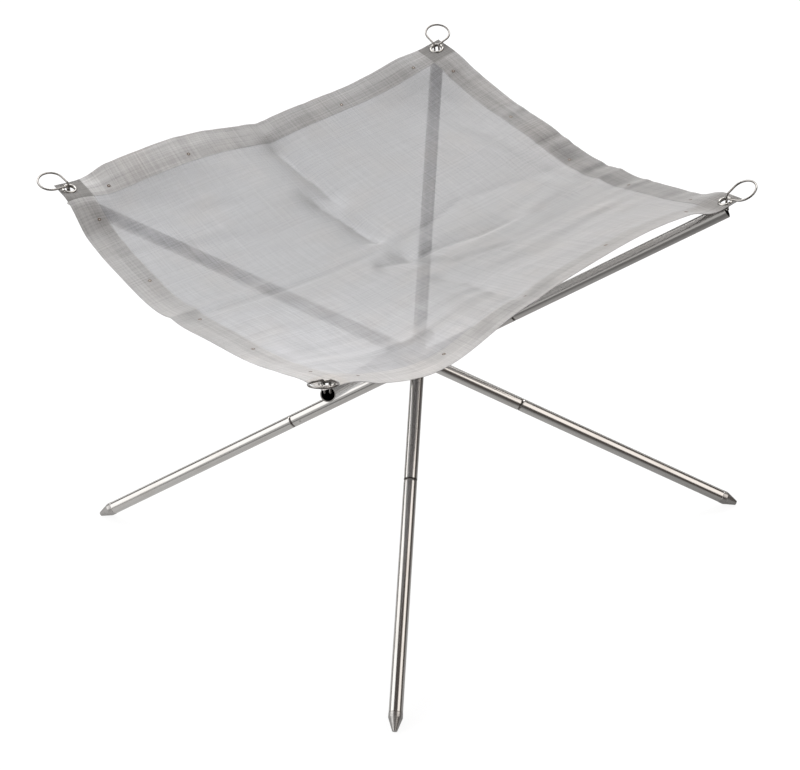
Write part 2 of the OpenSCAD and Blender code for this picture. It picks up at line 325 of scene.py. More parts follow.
@dataclass(frozen=True)
class Stand:
    """The measures that the poles, the sheet and the clips share, in millimetres and degrees.

    Attributes:
        pole_angle: Rise of the poles.
        lower_length: Length of a lower tube with its foot, up to the joint.
        middle_length: Length of a middle tube.
        upper_length: Length of an upper tube outside the middle one.
        foot_tip: Diameter of a foot's blunt tip.
        pole_offset: Distance from the hub's middle to the middle line of each pole.
        eyelet_back: How far an eyelet's middle is inwards of the mouth's.
        eyelet_lift: Height of the middle of the sheet at an eyelet above that of the mouth.
        eyelet_inset: Distance of an eyelet's middle from two sides of the sheet.
        corner_fall: Fall of the sheet's corners towards the hub.
        poles: The four poles.
    """

    pole_angle: float = 29.4
    lower_length: float = 228.0
    middle_length: float = 236.0
    upper_length: float = 211.0
    foot_tip: float = 4.3
    pole_offset: float = 14.5
    eyelet_back: float = 1.0
    eyelet_lift: float = 8.8
    eyelet_inset: float = 9.6
    corner_fall: float = 13.0
    poles: Tuple[Pole, ...] = (
        Pole("a", 0.0, 23.0, 12.0),
        Pole("b", 180.0, 13.0, -10.0),
        Pole("c", 90.0, 19.0, 8.0),
        Pole("d", 270.0, 21.0, 0.0),
    )

    @property
    def slope(self) -> float:
        """Rise of a pole in radians."""
        return math.radians(self.pole_angle)

    @property
    def length(self) -> float:
        """Length of a whole pole."""
        return self.lower_length + self.middle_length + self.upper_length

    @property
    def pivot(self) -> float:
        """Distance along a pole from its foot to its pivot."""
        return self.lower_length + self.middle_length / 2

    @property
    def tip_height(self) -> float:
        """Height of the middle of a foot's blunt tip."""
        return self.foot_tip / 2 * math.cos(self.slope)

    @property
    def hub_height(self) -> float:
        """Height of the pivots."""
        return self.tip_height + self.pivot * math.sin(self.slope)

    @property
    def mouth(self) -> Tuple[float, float]:
        """Distance from the hub's axis and height of the middle of a mouth."""
        reach = (self.length - self.pivot) * math.cos(self.slope)
        return reach, self.tip_height + self.length * math.sin(self.slope)

    @property
    def eyelet(self) -> Vector:
        """Middle of the eyelet on a pole that heads for +X."""
        reach, height = self.mouth
        return Vector((reach - self.eyelet_back, -self.pole_offset, height + self.eyelet_lift))

    def on_pole(self, pole: Pole) -> Matrix:
        """Frame of a pole: X runs up it from the tip of its foot.

        Args:
            pole: The pole.

        Returns:
            The frame, in millimetres.
        """
        start = Vector((-self.pivot * math.cos(self.slope), -self.pole_offset, self.tip_height))
        return pole.turn() @ Matrix.Translation(start) @ Matrix.Rotation(-self.slope, 4, "Y")

    def at_mouth(self, pole: Pole) -> Matrix:
        """Frame of a mouth: X runs outwards and Z up.

        Args:
            pole: The pole.

        Returns:
            The frame, in millimetres.
        """
        reach, height = self.mouth
        return pole.turn() @ Matrix.Translation(Vector((reach, -self.pole_offset, height)))


# ---- Meshes ----


class Solid:
    """A mesh under construction, in millimetres.

    Attributes:
        sharp_edge: Angle in degrees from which an edge stays sharp.
        cap_turns: Turns at which a wire's rounded end has its rings, in radians from its tip.
    """

    sharp_edge: float = 55.0
    cap_turns: Tuple[float, ...] = (0.35, 0.8, 1.2)

    def __init__(self) -> None:
        """Starts with nothing."""
        self.points: List[Array] = []
        self.faces: List[Tuple[int, ...]] = []
        self.marks: List[Tuple[float, float]] = []
        self.slopes: List[float] = []
        self.count = 0

    def add_points(self, points: Array, marks: Array, slopes: Optional[Array] = None) -> int:
        """Adds points with their two texture coordinates.

        Args:
            points: Rows of three.
            marks: Rows of two.
            slopes: Slope of the folds at each point, for cloth.

        Returns:
            The number of the first new point.
        """
        first = self.count
        self.points.append(np.asarray(points, float))
        self.marks.extend(map(tuple, np.asarray(marks, float)))
        self.slopes.extend(np.zeros(len(points)) if slopes is None else np.ravel(slopes))
        self.count += len(points)
        return first

    def add_slab(self, top: Array, bottom: Array, marks: Array, keep: Array, slopes: Array) -> None:
        """Adds a closed slab between two grids of points.

        Args:
            top: Upper points, rows by columns by three.
            bottom: Lower points, in the same order.
            marks: Texture coordinates of the grid, rows by columns by two.
            keep: Which cells are kept, one row and column fewer; the others become holes.
            slopes: Slope of the folds, rows by columns.
        """
        rows, columns = top.shape[:2]
        flat = marks.reshape(-1, 2)
        upper = self.add_points(top.reshape(-1, 3), flat, slopes)
        lower = self.add_points(bottom.reshape(-1, 3), flat, slopes)
        rim: Dict[Tuple[int, int], int] = {}
        for i in range(rows - 1):
            for j in range(columns - 1):
                if not keep[i, j]:
                    continue
                a = i * columns + j
                corners = (a, a + columns, a + columns + 1, a + 1)
                self.faces.append(tuple(upper + c for c in corners))
                self.faces.append(tuple(lower + c for c in reversed(corners)))
                for b, c in zip(corners, corners[1:] + corners[:1]):
                    if (c, b) in rim:
                        del rim[(c, b)]
                    else:
                        rim[(b, c)] = 1
        for b, c in rim:
            self.faces.append((upper + c, upper + b, lower + b, lower + c))

    def add_tube(self, path: Array, radius: float, sides: int) -> None:
        """Adds a round wire along a path, with rounded ends.

        Args:
            path: Points along the middle of the wire.
            radius: Radius of the wire.
            sides: Number of sides.
        """
        tangents = np.gradient(path, axis=0)
        tangents /= np.linalg.norm(tangents, axis=1)[:, None]
        turns = np.arange(sides) * 2 * math.pi / sides
        caps = [(-math.cos(a) * radius, math.sin(a)) for a in self.cap_turns]
        rings = [(path[0] + tangents[0] * x, tangents[0], share) for x, share in caps]
        rings += [(middle, tangent, 1.0) for middle, tangent in zip(path, tangents)]
        rings += [(path[-1] - tangents[-1] * x, tangents[-1], share) for x, share in reversed(caps)]
        off_axis = (0.0, 0.31, 1.0)
        arm = np.cross(tangents[0], off_axis)
        length = 0.0
        last = rings[0][0]
        first = self.count
        for middle, tangent, share in rings:
            arm = arm - tangent * (arm @ tangent)
            arm = arm / np.linalg.norm(arm)
            side = np.cross(tangent, arm)
            length += float(np.linalg.norm(middle - last))
            last = middle
            ring = middle + radius * share * (np.outer(np.cos(turns), arm) + np.outer(np.sin(turns), side))
            self.add_points(ring, np.column_stack([np.full(sides, length), turns]))
        for i in range(len(rings) - 1):
            for k in range(sides):
                a, b = first + i * sides + k, first + i * sides + (k + 1) % sides
                self.faces.append((a, b, b + sides, a + sides))
        self.faces.append(tuple(first + k for k in reversed(range(sides))))
        self.faces.append(tuple(first + (len(rings) - 1) * sides + k for k in range(sides)))

    def add_spun(self, frame: Matrix, outline: Sequence[Tuple[float, float]], sides: int) -> None:
        """Adds a closed turned form.

        Args:
            frame: Frame whose Z is the axis, in millimetres.
            outline: Radius and height of points from the upper middle round to the lower one.
            sides: Number of sides.
        """
        turns = np.arange(sides) * 2 * math.pi / sides
        widest = max(r for r, _ in outline)
        first = self.count
        for radius, height in outline:
            ring = [frame @ Vector((radius * math.cos(a), radius * math.sin(a), height)) for a in turns]
            share = radius / widest
            marks = 0.5 + 0.5 * share * np.column_stack([np.cos(turns), np.sin(turns)])
            self.add_points(np.array(ring), marks)
        for i in range(len(outline) - 1):
            for k in range(sides):
                a, b = first + i * sides + k, first + i * sides + (k + 1) % sides
                self.faces.append((b, a, a + sides, b + sides))
        last = first + (len(outline) - 1) * sides
        self.faces.append(tuple(first + k for k in range(sides)))
        self.faces.append(tuple(last + k for k in reversed(range(sides))))

    def build(self, name: str, finish: bpy.types.Material, body: str, slot: str) -> bpy.types.Object:
        """Makes the object and lets it ride on a body.

        Args:
            name: Name of the piece.
            finish: Its material.
            body: The body that carries it.
            slot: Not used.

        Returns:
            The object.
        """
        mesh = bpy.data.meshes.new(name)
        points = np.concatenate(self.points) * MM
        mesh.from_pydata(points.tolist(), [], self.faces)
        layer = mesh.uv_layers.new(name="marks")
        marks = np.array(self.marks)
        order = np.empty(len(mesh.loops), dtype=np.int32)
        mesh.loops.foreach_get("vertex_index", order)
        layer.data.foreach_set("uv", marks[order].ravel())
        mesh.attributes.new("fold_slope", "FLOAT", "POINT").data.foreach_set("value", self.slopes)
        mesh.shade_smooth()
        mesh.set_sharp_from_angle(angle=math.radians(self.sharp_edge))
        mesh.materials.append(finish)
        mesh.update()
        piece = bpy.data.objects.new(name, mesh)
        bpy.context.scene.collection.objects.link(piece)
        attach(piece, body)
        LOG.info("%s: %d points on %s", name, len(points), body)
        return piece


# ---- Finishes ----


@dataclass(frozen=True)
class DrawnSteel:
    """Polished stainless tube, with fine lines drawn along it.

    Attributes:
        colour: Colour of the clean metal.
        tint: Warmer colour in the handled places.
        painted_bore_shade: Colour of the unpolished inside: near black, painted shade deep in the tube.
        joint_dirt_and_shade: Colour of the dirt and of the painted shade in the gaps at the joints between
            tubes.
        joints: Where those joints are along a pole, in millimetres.
        joint_reach: Distance over which a joint's dirt and painted shade starts and is gone, in millimetres.
        polish: Roughness of the outside.
    """

    colour: Colour = (0.60, 0.585, 0.565)
    tint: Colour = (0.50, 0.465, 0.43)
    painted_bore_shade: Colour = (0.020, 0.018, 0.017)
    joint_dirt_and_shade: Colour = (0.07, 0.055, 0.045)
    joints: Tuple[float, ...] = (227.3, 464.7)
    joint_reach: Tuple[float, float] = (0.7, 1.5)
    polish: float = 0.12

    def material(self, name: str, frame: Matrix) -> bpy.types.Material:
        """Makes the finish for one pole's tubes.

        Args:
            name: Name of the material.
            frame: The pole's frame, in millimetres.

        Returns:
            The material.
        """
        made = new_material(name)
        tree = ShaderTree(made.node_tree)
        start = frame.translation * MM
        axis, side, up = (frame.col[i].to_3d() for i in range(3))
        place = tree.moved(tree.local(), -start)
        along = tree.along(place, axis)
        across, above = tree.along(place, side), tree.along(place, up)
        facing = tree.facing()
        outwards = tree.along(facing, side) * across + tree.along(facing, up) * above
        inside = outwards < -0.8 * MM

        def grain(long: float, cross: float, detail: float, roughness: float) -> Value:
            """Noise with one scale along the tube and another across it."""
            stretched = tree.vector(along * long, across * cross, above * cross)
            return tree.noise(stretched, 1.0, detail, roughness)

        lines = grain(6.0, 1800.0, 3.0, 0.6)
        handled = grain(22.0, 90.0, 3.0, 0.55).rise(0.5, 0.78)
        worn = grain(260.0, 700.0, 4.0, 0.6).rise(0.62, 0.74)
        metal = tree.blend(handled * 0.45, self.colour, self.tint)
        metal = tree.shaded(metal, 0.94 + lines * 0.12)
        # Darker bands at the joints: dirt, and painted shade in the gap where two tubes meet.
        grimed_and_shaded, clean = self.joint_reach
        for joint in self.joints:
            away = ((along - joint * MM) ** 2.0).root()
            metal = tree.blend(away.rise(clean * MM, grimed_and_shaded * MM) * 0.7, metal, self.joint_dirt_and_shade)
        # The inside of each tube is drawn near black: painted shade in the deep bore.
        tree.finish(
            {
                "Base Color": tree.blend(inside, metal, self.painted_bore_shade),
                "Metallic": 1.0 - inside * 0.6,
                "Roughness": self.polish + lines * 0.07 + handled * 0.06 + worn * 0.14 + inside * 0.5,
                "Normal": tree.bump(lines + worn * 0.3, 0.01 * MM, 0.35),
            }
        )
        return made


@dataclass(frozen=True)
class TurnedSteel:
    """Steel from the lathe, with fine rings about an axis.

    Attributes:
        colour: Colour of the metal.
        polish: Roughness between the rings.
        pitch: Distance between rings, in millimetres.
    """

    colour: Colour
    polish: float
    pitch: float = 0.22

    def material(self, name: str, frame: Matrix) -> bpy.types.Material:
        """Makes the finish.

        Args:
            name: Name of the material.
            frame: A frame whose X is the turning axis, in millimetres.

        Returns:
            The material.
        """
        made = new_material(name)
        tree = ShaderTree(made.node_tree)
        place = tree.moved(tree.local(), -frame.translation * MM)
        along = tree.along(place, frame.col[0].to_3d())
        uneven = tree.noise(place, 900.0, 2.0)
        rings = (along * (2 * math.pi / (self.pitch * MM)) + uneven * 2.0).cosine() * 0.5 + 0.5
        stains = tree.noise(place, 160.0, 4.0, 0.6).rise(0.45, 0.75)
        tree.finish(
            {
                "Base Color": tree.shaded(self.colour, 1.03 - stains * 0.25 - rings * 0.05),
                "Metallic": 1.0,
                "Roughness": self.polish + rings * 0.06 + stains * 0.14,
                "Normal": tree.bump(rings, 0.01 * MM, 0.4),
            }
        )
        return made


@dataclass(frozen=True)
class BrightMetal:
    """Plated or rolled bright metal with small scratches.

    Attributes:
        colour: Colour of the metal.
        polish: Roughness of the clean metal.
        grain: Size of the scratches, in millimetres.
        wear: Share of the surface that is scratched or dull, from 0 to 1.
    """

    colour: Colour
    polish: float
    grain: float = 0.5
    wear: float = 0.4

    def material(self, name: str) -> bpy.types.Material:
        """Makes the finish.

        Args:
            name: Name of the material.

        Returns:
            The material.
        """
        made = new_material(name)
        tree = ShaderTree(made.node_tree)
        place = tree.local()
        grain = tree.noise(place, 1.0 / (self.grain * MM), 3.0, 0.6)
        patches = tree.noise(place, 0.12 / (self.grain * MM), 3.0, 0.55)
        dull = patches.rise(0.7 - self.wear * 0.4, 0.85)
        tree.finish(
            {
                "Base Color": tree.shaded(self.colour, 1.04 - dull * 0.22 - grain * 0.08),
                "Metallic": 1.0,
                "Roughness": self.polish + grain * 0.06 + dull * 0.18,
                "Normal": tree.bump(grain, 0.01 * MM, 0.35),
            }
        )
        return made


@dataclass(frozen=True)
class LightAndShadePatch:
    """A soft paler or darker patch: painted light where the sheet faces the light, and painted shade beside
    its folds.

    Attributes:
        middle: Its middle, in millimetres along the two sets of wires.
        reach: Half its length and half its width.
        turn: Turn of its length from the first set of wires, in degrees.
        gain: How much paler it is.
    """

    middle: Tuple[float, float]
    reach: Tuple[float, float]
    turn: float
    gain: float

    def tone(self, u: Value, v: Value, ragged: Value) -> Value:
        """Brightness that the patch gives each place.

        Args:
            u: Place along the first set of wires, in millimetres.
            v: Place along the second set.
            ragged: Unevenness of the patch's outline.

        Returns:
            The factor, one outside the patch.
        """
        cos, sin = math.cos(math.radians(self.turn)), math.sin(math.radians(self.turn))
        x, y = u - self.middle[0], v - self.middle[1]
        along, across = (x * cos + y * sin) / self.reach[0], (y * cos - x * sin) / self.reach[1]
        return 1.0 + ((along**2.0 + across**2.0).root() + ragged).rise(1.3, 0.2) * self.gain


@dataclass(frozen=True)
class WireCloth:
    """Fine plain-weave wire cloth: half open, and lit like a pale satin metal.

    Attributes:
        colour: Colour of the wires.
        tint: Colour where the cloth has been handled or warmed.
        closed: Share of each face that the wires close, seen square on.
        turned: Brightness of the band over a turned-in edge, against the rest: painted shade where the extra
            layer holds back light.
        painted_front_light: How much paler the cloth is painted towards the front corner, where the sheet
            faces the light.
        patches: Its patches of painted light and painted shade.
        painted_fold_light: Strength of the painted light and painted shade on the flanks of the folds, from
            their slope.
        pitch: Distance between wires, in millimetres.
        polish: Roughness of the wires.
        side: Side of the sheet, in millimetres.
        turn_at: Distance of the turned-in edge from the side.
    """

    colour: Colour
    tint: Colour
    closed: float
    turned: float = 1.0
    painted_front_light: float = 0.42
    patches: Tuple[LightAndShadePatch, ...] = ()
    painted_fold_light: float = 1.9
    pitch: float = 0.5
    polish: float = 0.45
    side: float = 430.0
    turn_at: float = 12.6

    @staticmethod
    def _drawn(
        tree: ShaderTree,
        u: Value,
        v: Value,
        scales: Tuple[float, float],
        seeds: Tuple[float, float],
        detail: float,
        roughness: float = 0.5,
    ) -> Tuple[Value, Value]:
        """Noise drawn out along each of the two sets of wires.

        Args:
            tree: The cloth's tree.
            u: Place along the first set of wires, in millimetres.
            v: Place along the second set.
            scales: Scale across the wires and scale along them.
            seeds: Numbers that keep the two noises apart.
            detail: Detail of the noise.
            roughness: Roughness of the noise.

        Returns:
            The two noises.
        """
        across, along = scales
        first = tree.noise(tree.vector(u * across, v * along, seeds[0]), 1.0, detail, roughness)
        second = tree.noise(tree.vector(u * along, v * across, seeds[1]), 1.0, detail, roughness)
        return first, second

    def _uneven(self, tree: ShaderTree, u: Value, v: Value) -> Value:
        """Light and dark wires and bands along both ways of the weave.

        Args:
            tree: The cloth's tree.
            u: Place along the first set of wires, in millimetres.
            v: Place along the second set.

        Returns:
            The unevenness, about nought.
        """
        fine_u, fine_v = self._drawn(tree, u, v, (0.62, 0.014), (3.0, 7.0), 1.0)
        band_u, band_v = self._drawn(tree, u, v, (0.16, 0.008), (11.0, 17.0), 3.0, 0.6)
        rare = self._drawn(tree, u, v, (0.9, 0.006), (23.0, 29.0), 0.0)
        bright_u, bright_v = (noise.rise(0.66, 0.76) for noise in rare)
        fine = fine_u + fine_v - 1.0
        bands = band_u + band_v - 1.0
        return fine + bands * 0.22 + (bright_u + bright_v) * 0.14

    def _tone(self, tree: ShaderTree, u: Value, v: Value) -> Value:
        """Brightness by place: painted light towards the front, painted light and shade on the flanks of
        folds, painted shade over the turned edge, and patches of painted light and shade.

        Args:
            tree: The cloth's tree.
            u: Place along the first set of wires, in millimetres.
            v: Place along the second set.

        Returns:
            The factor on the wires' colour.
        """
        edge = u.least(self.side - u).least(v).least(self.side - v)
        # Painted shade over the turned-in edge, where the extra layer holds back light.
        band = 1.0 + edge.rise(self.turn_at - 0.3, self.turn_at + 0.3) * (self.turned - 1.0)
        # Painted light: the colour grows paler towards the front corner, where the sheet faces the light.
        painted_front_light = ((v - u) * (1 / self.side)).rise(-0.1, 0.95) * self.painted_front_light
        # Painted light and painted shade on the flanks of folds, from the slope stored at each point.
        slope = tree.node("ShaderNodeAttribute", {"attribute_name": "fold_slope"}, output="Fac")
        bright, dark = slope.at_least(0.0) * 0.35, slope - slope.at_least(0.0)
        tone = (0.92 + painted_front_light) * (1.0 + (bright + dark) * self.painted_fold_light).at_least(0.3) * band
        ragged = (tree.noise(tree.vector(u, v, 5.0), 0.045, 4.0, 0.6) - 0.5) * 1.1
        for patch in self.patches:
            tone = tone * patch.tone(u, v, ragged)
        return tone

    def material(self, name: str) -> bpy.types.Material:
        """Makes the finish. The piece's marks are millimetres along the two sets of wires.

        Args:
            name: Name of the material.

        Returns:
            The material.
        """
        made = new_material(name)
        tree = ShaderTree(made.node_tree)
        u, v = tree.uv("marks")
        turn = 2 * math.pi / self.pitch
        gap = ((u * turn).cosine() * 0.5 + 0.5) * ((v * turn).cosine() * 0.5 + 0.5)
        knuckles = (u * (turn / 2)).cosine() * (v * (turn / 2)).cosine() * 0.5 + 0.5
        clouds = tree.noise(tree.vector(u, v, 0.0), 0.02, 3.0, 0.55)
        uneven = self._uneven(tree, u, v)
        warmed = clouds.rise(0.42, 0.72) * 0.45 + ((u + v) * (1 / self.side)).rise(0.75, 1.75) * 0.55
        wires = tree.blend(warmed, self.colour, self.tint)
        tilt = tree.node("ShaderNodeLayerWeight", inputs={"Blend": 0.5}, output="Facing")
        closed = self.closed + tilt.rise(0.30, 0.80) * 0.12
        # The colour darkens in the weave's openings: painted shade between the wires.
        shade = (1.0 + uneven * 0.5 - gap * 0.08) * self._tone(tree, u, v)
        tree.finish(
            {
                "Base Color": tree.shaded(wires, shade),
                "Metallic": 0.1,
                "Roughness": self.polish + clouds * 0.10 + gap * 0.08,
                "Alpha": (closed + 0.05 - gap * 0.20 + uneven * 0.12).at_least(0.0),
                "Normal": tree.bump(knuckles + uneven * 0.5, 0.05 * MM, 0.5),
                "Sheen Weight": 0.9,
                "Sheen Roughness": 0.5,
            }
        )
        made.surface_render_method = "DITHERED"
        return made


# Painted light and painted shade on the single cloth: paler towards the front, darker beside the folds.
CLOTH_LIGHT_AND_SHADE = (
    LightAndShadePatch((45.0, 385.0), (130.0, 160.0), 0.0, 0.30),
    LightAndShadePatch((300.0, 90.0), (130.0, 80.0), 0.0, -0.06),
    LightAndShadePatch((80.0, 40.0), (130.0, 70.0), 0.0, 0.16),
    LightAndShadePatch((300.0, 300.0), (110.0, 60.0), 0.0, -0.08),
    LightAndShadePatch((197.0, 122.0), (26.0, 12.0), 75.0, -0.20),
    LightAndShadePatch((222.0, 260.0), (36.0, 10.0), 62.0, -0.30),
    LightAndShadePatch((261.0, 296.0), (32.0, 9.0), 25.0, -0.30),
    LightAndShadePatch((325.0, 292.0), (34.0, 10.0), -5.0, -0.22),
    LightAndShadePatch((185.0, 369.0), (46.0, 9.0), 98.0, -0.16),
    LightAndShadePatch((290.0, 366.0), (90.0, 14.0), 2.0, 0.12),
    LightAndShadePatch((255.0, 335.0), (42.0, 9.0), 28.0, -0.16),
    LightAndShadePatch((372.0, 262.0), (44.0, 9.0), -12.0, -0.16),
    LightAndShadePatch((368.0, 322.0), (44.0, 9.0), 8.0, 0.12),
)
# Painted light and painted shade on the hem: paler near the left corner, darker along the back-right side and
# at fold ends.
HEM_LIGHT_AND_SHADE = (
    LightAndShadePatch((60.0, 10.0), (150.0, 30.0), 0.0, 0.55),
    LightAndShadePatch((425.0, 275.0), (200.0, 34.0), 90.0, -0.30),
    LightAndShadePatch((411.0, 132.0), (16.0, 10.0), 90.0, -0.06),
    LightAndShadePatch((418.0, 206.0), (22.0, 11.0), 90.0, -0.35),
    LightAndShadePatch((411.0, 267.0), (24.0, 9.0), 90.0, -0.25),
    LightAndShadePatch((421.0, 340.0), (28.0, 8.0), 90.0, -0.20),
    LightAndShadePatch((166.0, 419.0), (14.0, 9.0), 0.0, -0.25),
    LightAndShadePatch((201.0, 418.0), (18.0, 9.0), 0.0, -0.25),
    LightAndShadePatch((10.0, 208.0), (12.0, 10.0), 90.0, -0.20),
    LightAndShadePatch((228.0, 418.0), (14.0, 10.0), 0.0, -0.25),
    LightAndShadePatch((40.0, 405.0), (130.0, 120.0), 0.0, 0.34),
)
# Painted light on the front and right corners.
CORNER_LIGHT_AND_SHADE = (
    LightAndShadePatch((12.0, 418.0), (60.0, 60.0), 0.0, 1.30),
    LightAndShadePatch((418.0, 418.0), (60.0, 60.0), 0.0, 0.35),
)


@dataclass(frozen=True)
class WeldTint:
    """A spot weld: a bright pressed middle in a brown ring of heat tint.

    Attributes:
        bright: Colour of the middle.
        brown: Colour of the ring.
        straw: Colour of its rim.
    """

    bright: Colour = (0.62, 0.58, 0.54)
    brown: Colour = (0.085, 0.052, 0.036)
    straw: Colour = (0.22, 0.165, 0.125)

    def material(self, name: str) -> bpy.types.Material:
        """Makes the finish. The piece's marks put the middle at 0.5, 0.5.

        Args:
            name: Name of the material.

        Returns:
            The material.
        """
        made = new_material(name)
        tree = ShaderTree(made.node_tree)
        u, v = tree.uv("marks")
        reach = ((u - 0.5) ** 2.0 + (v - 0.5) ** 2.0).root() * 2.0
        speckle = tree.noise(tree.local(), 2600.0, 3.0, 0.6)
        ragged = reach + (speckle - 0.5) * 0.25
        ring = tree.blend(ragged.rise(0.28, 0.42), self.bright, self.brown)
        ring = tree.blend(ragged.rise(0.84, 1.0), ring, self.straw)
        tree.finish(
            {
                "Base Color": ring,
                "Metallic": 0.3,
                "Roughness": 0.4 + speckle * 0.25,
                "Normal": tree.bump(speckle, 0.03 * MM, 0.4),
            }
        )
        return made


def new_material(name: str) -> bpy.types.Material:
    """Makes an empty material with nodes.

    Args:
        name: Its name.

    Returns:
        The material.
    """
    made = bpy.data.materials.new(name)
    made.use_nodes = True
    return made


# ---- The hung sheet ----


@dataclass(frozen=True)
class Edge:
    """How one side of the sheet hangs between its corners.

    Attributes:
        waves: Heights of its waves: the bow, the skew and the ripples.
        bow: How far its middle stands outwards.
        folds: Where fold lines reach it: place from 0 to 1, height and width.
    """

    waves: Tuple[float, ...]
    bow: float
    folds: Tuple[Tuple[float, float, float], ...] = ()

    def height(self, t: Array) -> Array:
        """Height against the line between the corners.

        Args:
            t: Places along the side, from 0 to 1.

        Returns:
            The height at each.
        """
        total = sum(w * np.sin((k + 1) * math.pi * t) for k, w in enumerate(self.waves))
        for place, rise, width in self.folds:
            total = total + rise * np.sin(math.pi * t) * np.exp(-np.abs(t - place) / width)
        return total


@dataclass(frozen=True)
class Swell:
    """A broad hump or hollow of the sheet.

    Attributes:
        u: Middle of it, in shares of a side.
        v: The same, the other way.
        width_u: Reach along u, in shares of a side.
        width_v: Reach along v.
        height: Its height, in millimetres.
    """

    u: float
    v: float
    width_u: float
    width_v: float
    height: float

    def rise(self, u: Array, v: Array) -> Array:
        """Its height at places on the sheet."""
        across, along = (u - self.u) / self.width_u, (v - self.v) / self.width_v
        return self.height * np.exp(-(across**2) - along**2)


@dataclass(frozen=True)
class Crease:
    """A fold line left from when the sheet was folded up.

    Attributes:
        line: Points of the line, in shares of a side.
        height: Height at the line.
        left: Width of the flank on the left of the line, in shares of a side.
        right: Width of the other flank.
        fades: Lengths over which the fold fades at the line's two ends.
    """

    line: Tuple[Tuple[float, float], ...]
    height: float
    left: float
    right: float
    fades: Tuple[float, float] = (0.06, 0.06)

    def rise(self, u: Array, v: Array) -> Array:
        """Its height: sharp at the line, and gone beyond its ends.

        Args:
            u: Places on the sheet, in shares of a side.
            v: The same, the other way.

        Returns:
            The height at each.
        """
        best = np.full(u.shape, np.inf)
        away = np.zeros(u.shape)
        along = np.zeros(u.shape)
        run = 0.0
        for (u0, v0), (u1, v1) in zip(self.line, self.line[1:]):
            du, dv = u1 - u0, v1 - v0
            length = math.hypot(du, dv)
            t = ((u - u0) * du + (v - v0) * dv) / length
            held = np.clip(t, 0, length)
            distance = np.hypot(u - u0 - held * du / length, v - v0 - held * dv / length)
            near = distance < best
            side = np.sign((v - v0) * du - (u - u0) * dv)
            best = np.where(near, distance, best)
            away = np.where(near, side * distance, away)
            along = np.where(near, run + held, along)
            run += length
        flank = np.where(away > 0, away / self.left, -away / self.right)
        ends = np.clip(along / self.fades[0], 0, 1) * np.clip((run - along) / self.fades[1], 0, 1)
        return self.height * ends * ends * (3 - 2 * ends) * np.exp(-flank)


@dataclass(frozen=True)
class Ripples:
    """A patch of soft parallel wrinkles.

    Attributes:
        middle: Middle of the patch, in shares of a side.
        size: Reach of the patch.
        run: Direction of the wrinkles' ridges.
        spacing: Distance between them.
        height: Their height.
        seed: Shifts their pattern.
    """

    middle: Tuple[float, float]
    size: Tuple[float, float]
    run: Tuple[float, float]
    spacing: float
    height: float
    seed: float

    def rise(self, u: Array, v: Array) -> Array:
        """Their height.

        Args:
            u: Places on the sheet, in shares of a side.
            v: The same, the other way.

        Returns:
            The height at each.
        """
        norm = math.hypot(*self.run)
        along = (u * self.run[0] + v * self.run[1]) / norm
        across = (v * self.run[0] - u * self.run[1]) / norm
        total = np.zeros_like(u)
        for k, share in enumerate((1.0, 0.7, 0.5, 0.35)):
            wander = 0.35 * np.sin(along * (9.0 + 5.1 * k) + self.seed + 1.7 * k)
            phase = 2 * math.pi * across / (self.spacing / (1 + 0.63 * k)) + self.seed * (2 + k)
            strength = 0.6 + 0.4 * np.sin(along * (13 + 4 * k) + 2 * k)
            total = total + share * np.sin(phase + 2.4 * wander) * strength
        aside, ahead = (u - self.middle[0]) / self.size[0], (v - self.middle[1]) / self.size[1]
        return self.height * np.exp(-(aside**2) - ahead**2) * total / 2.5


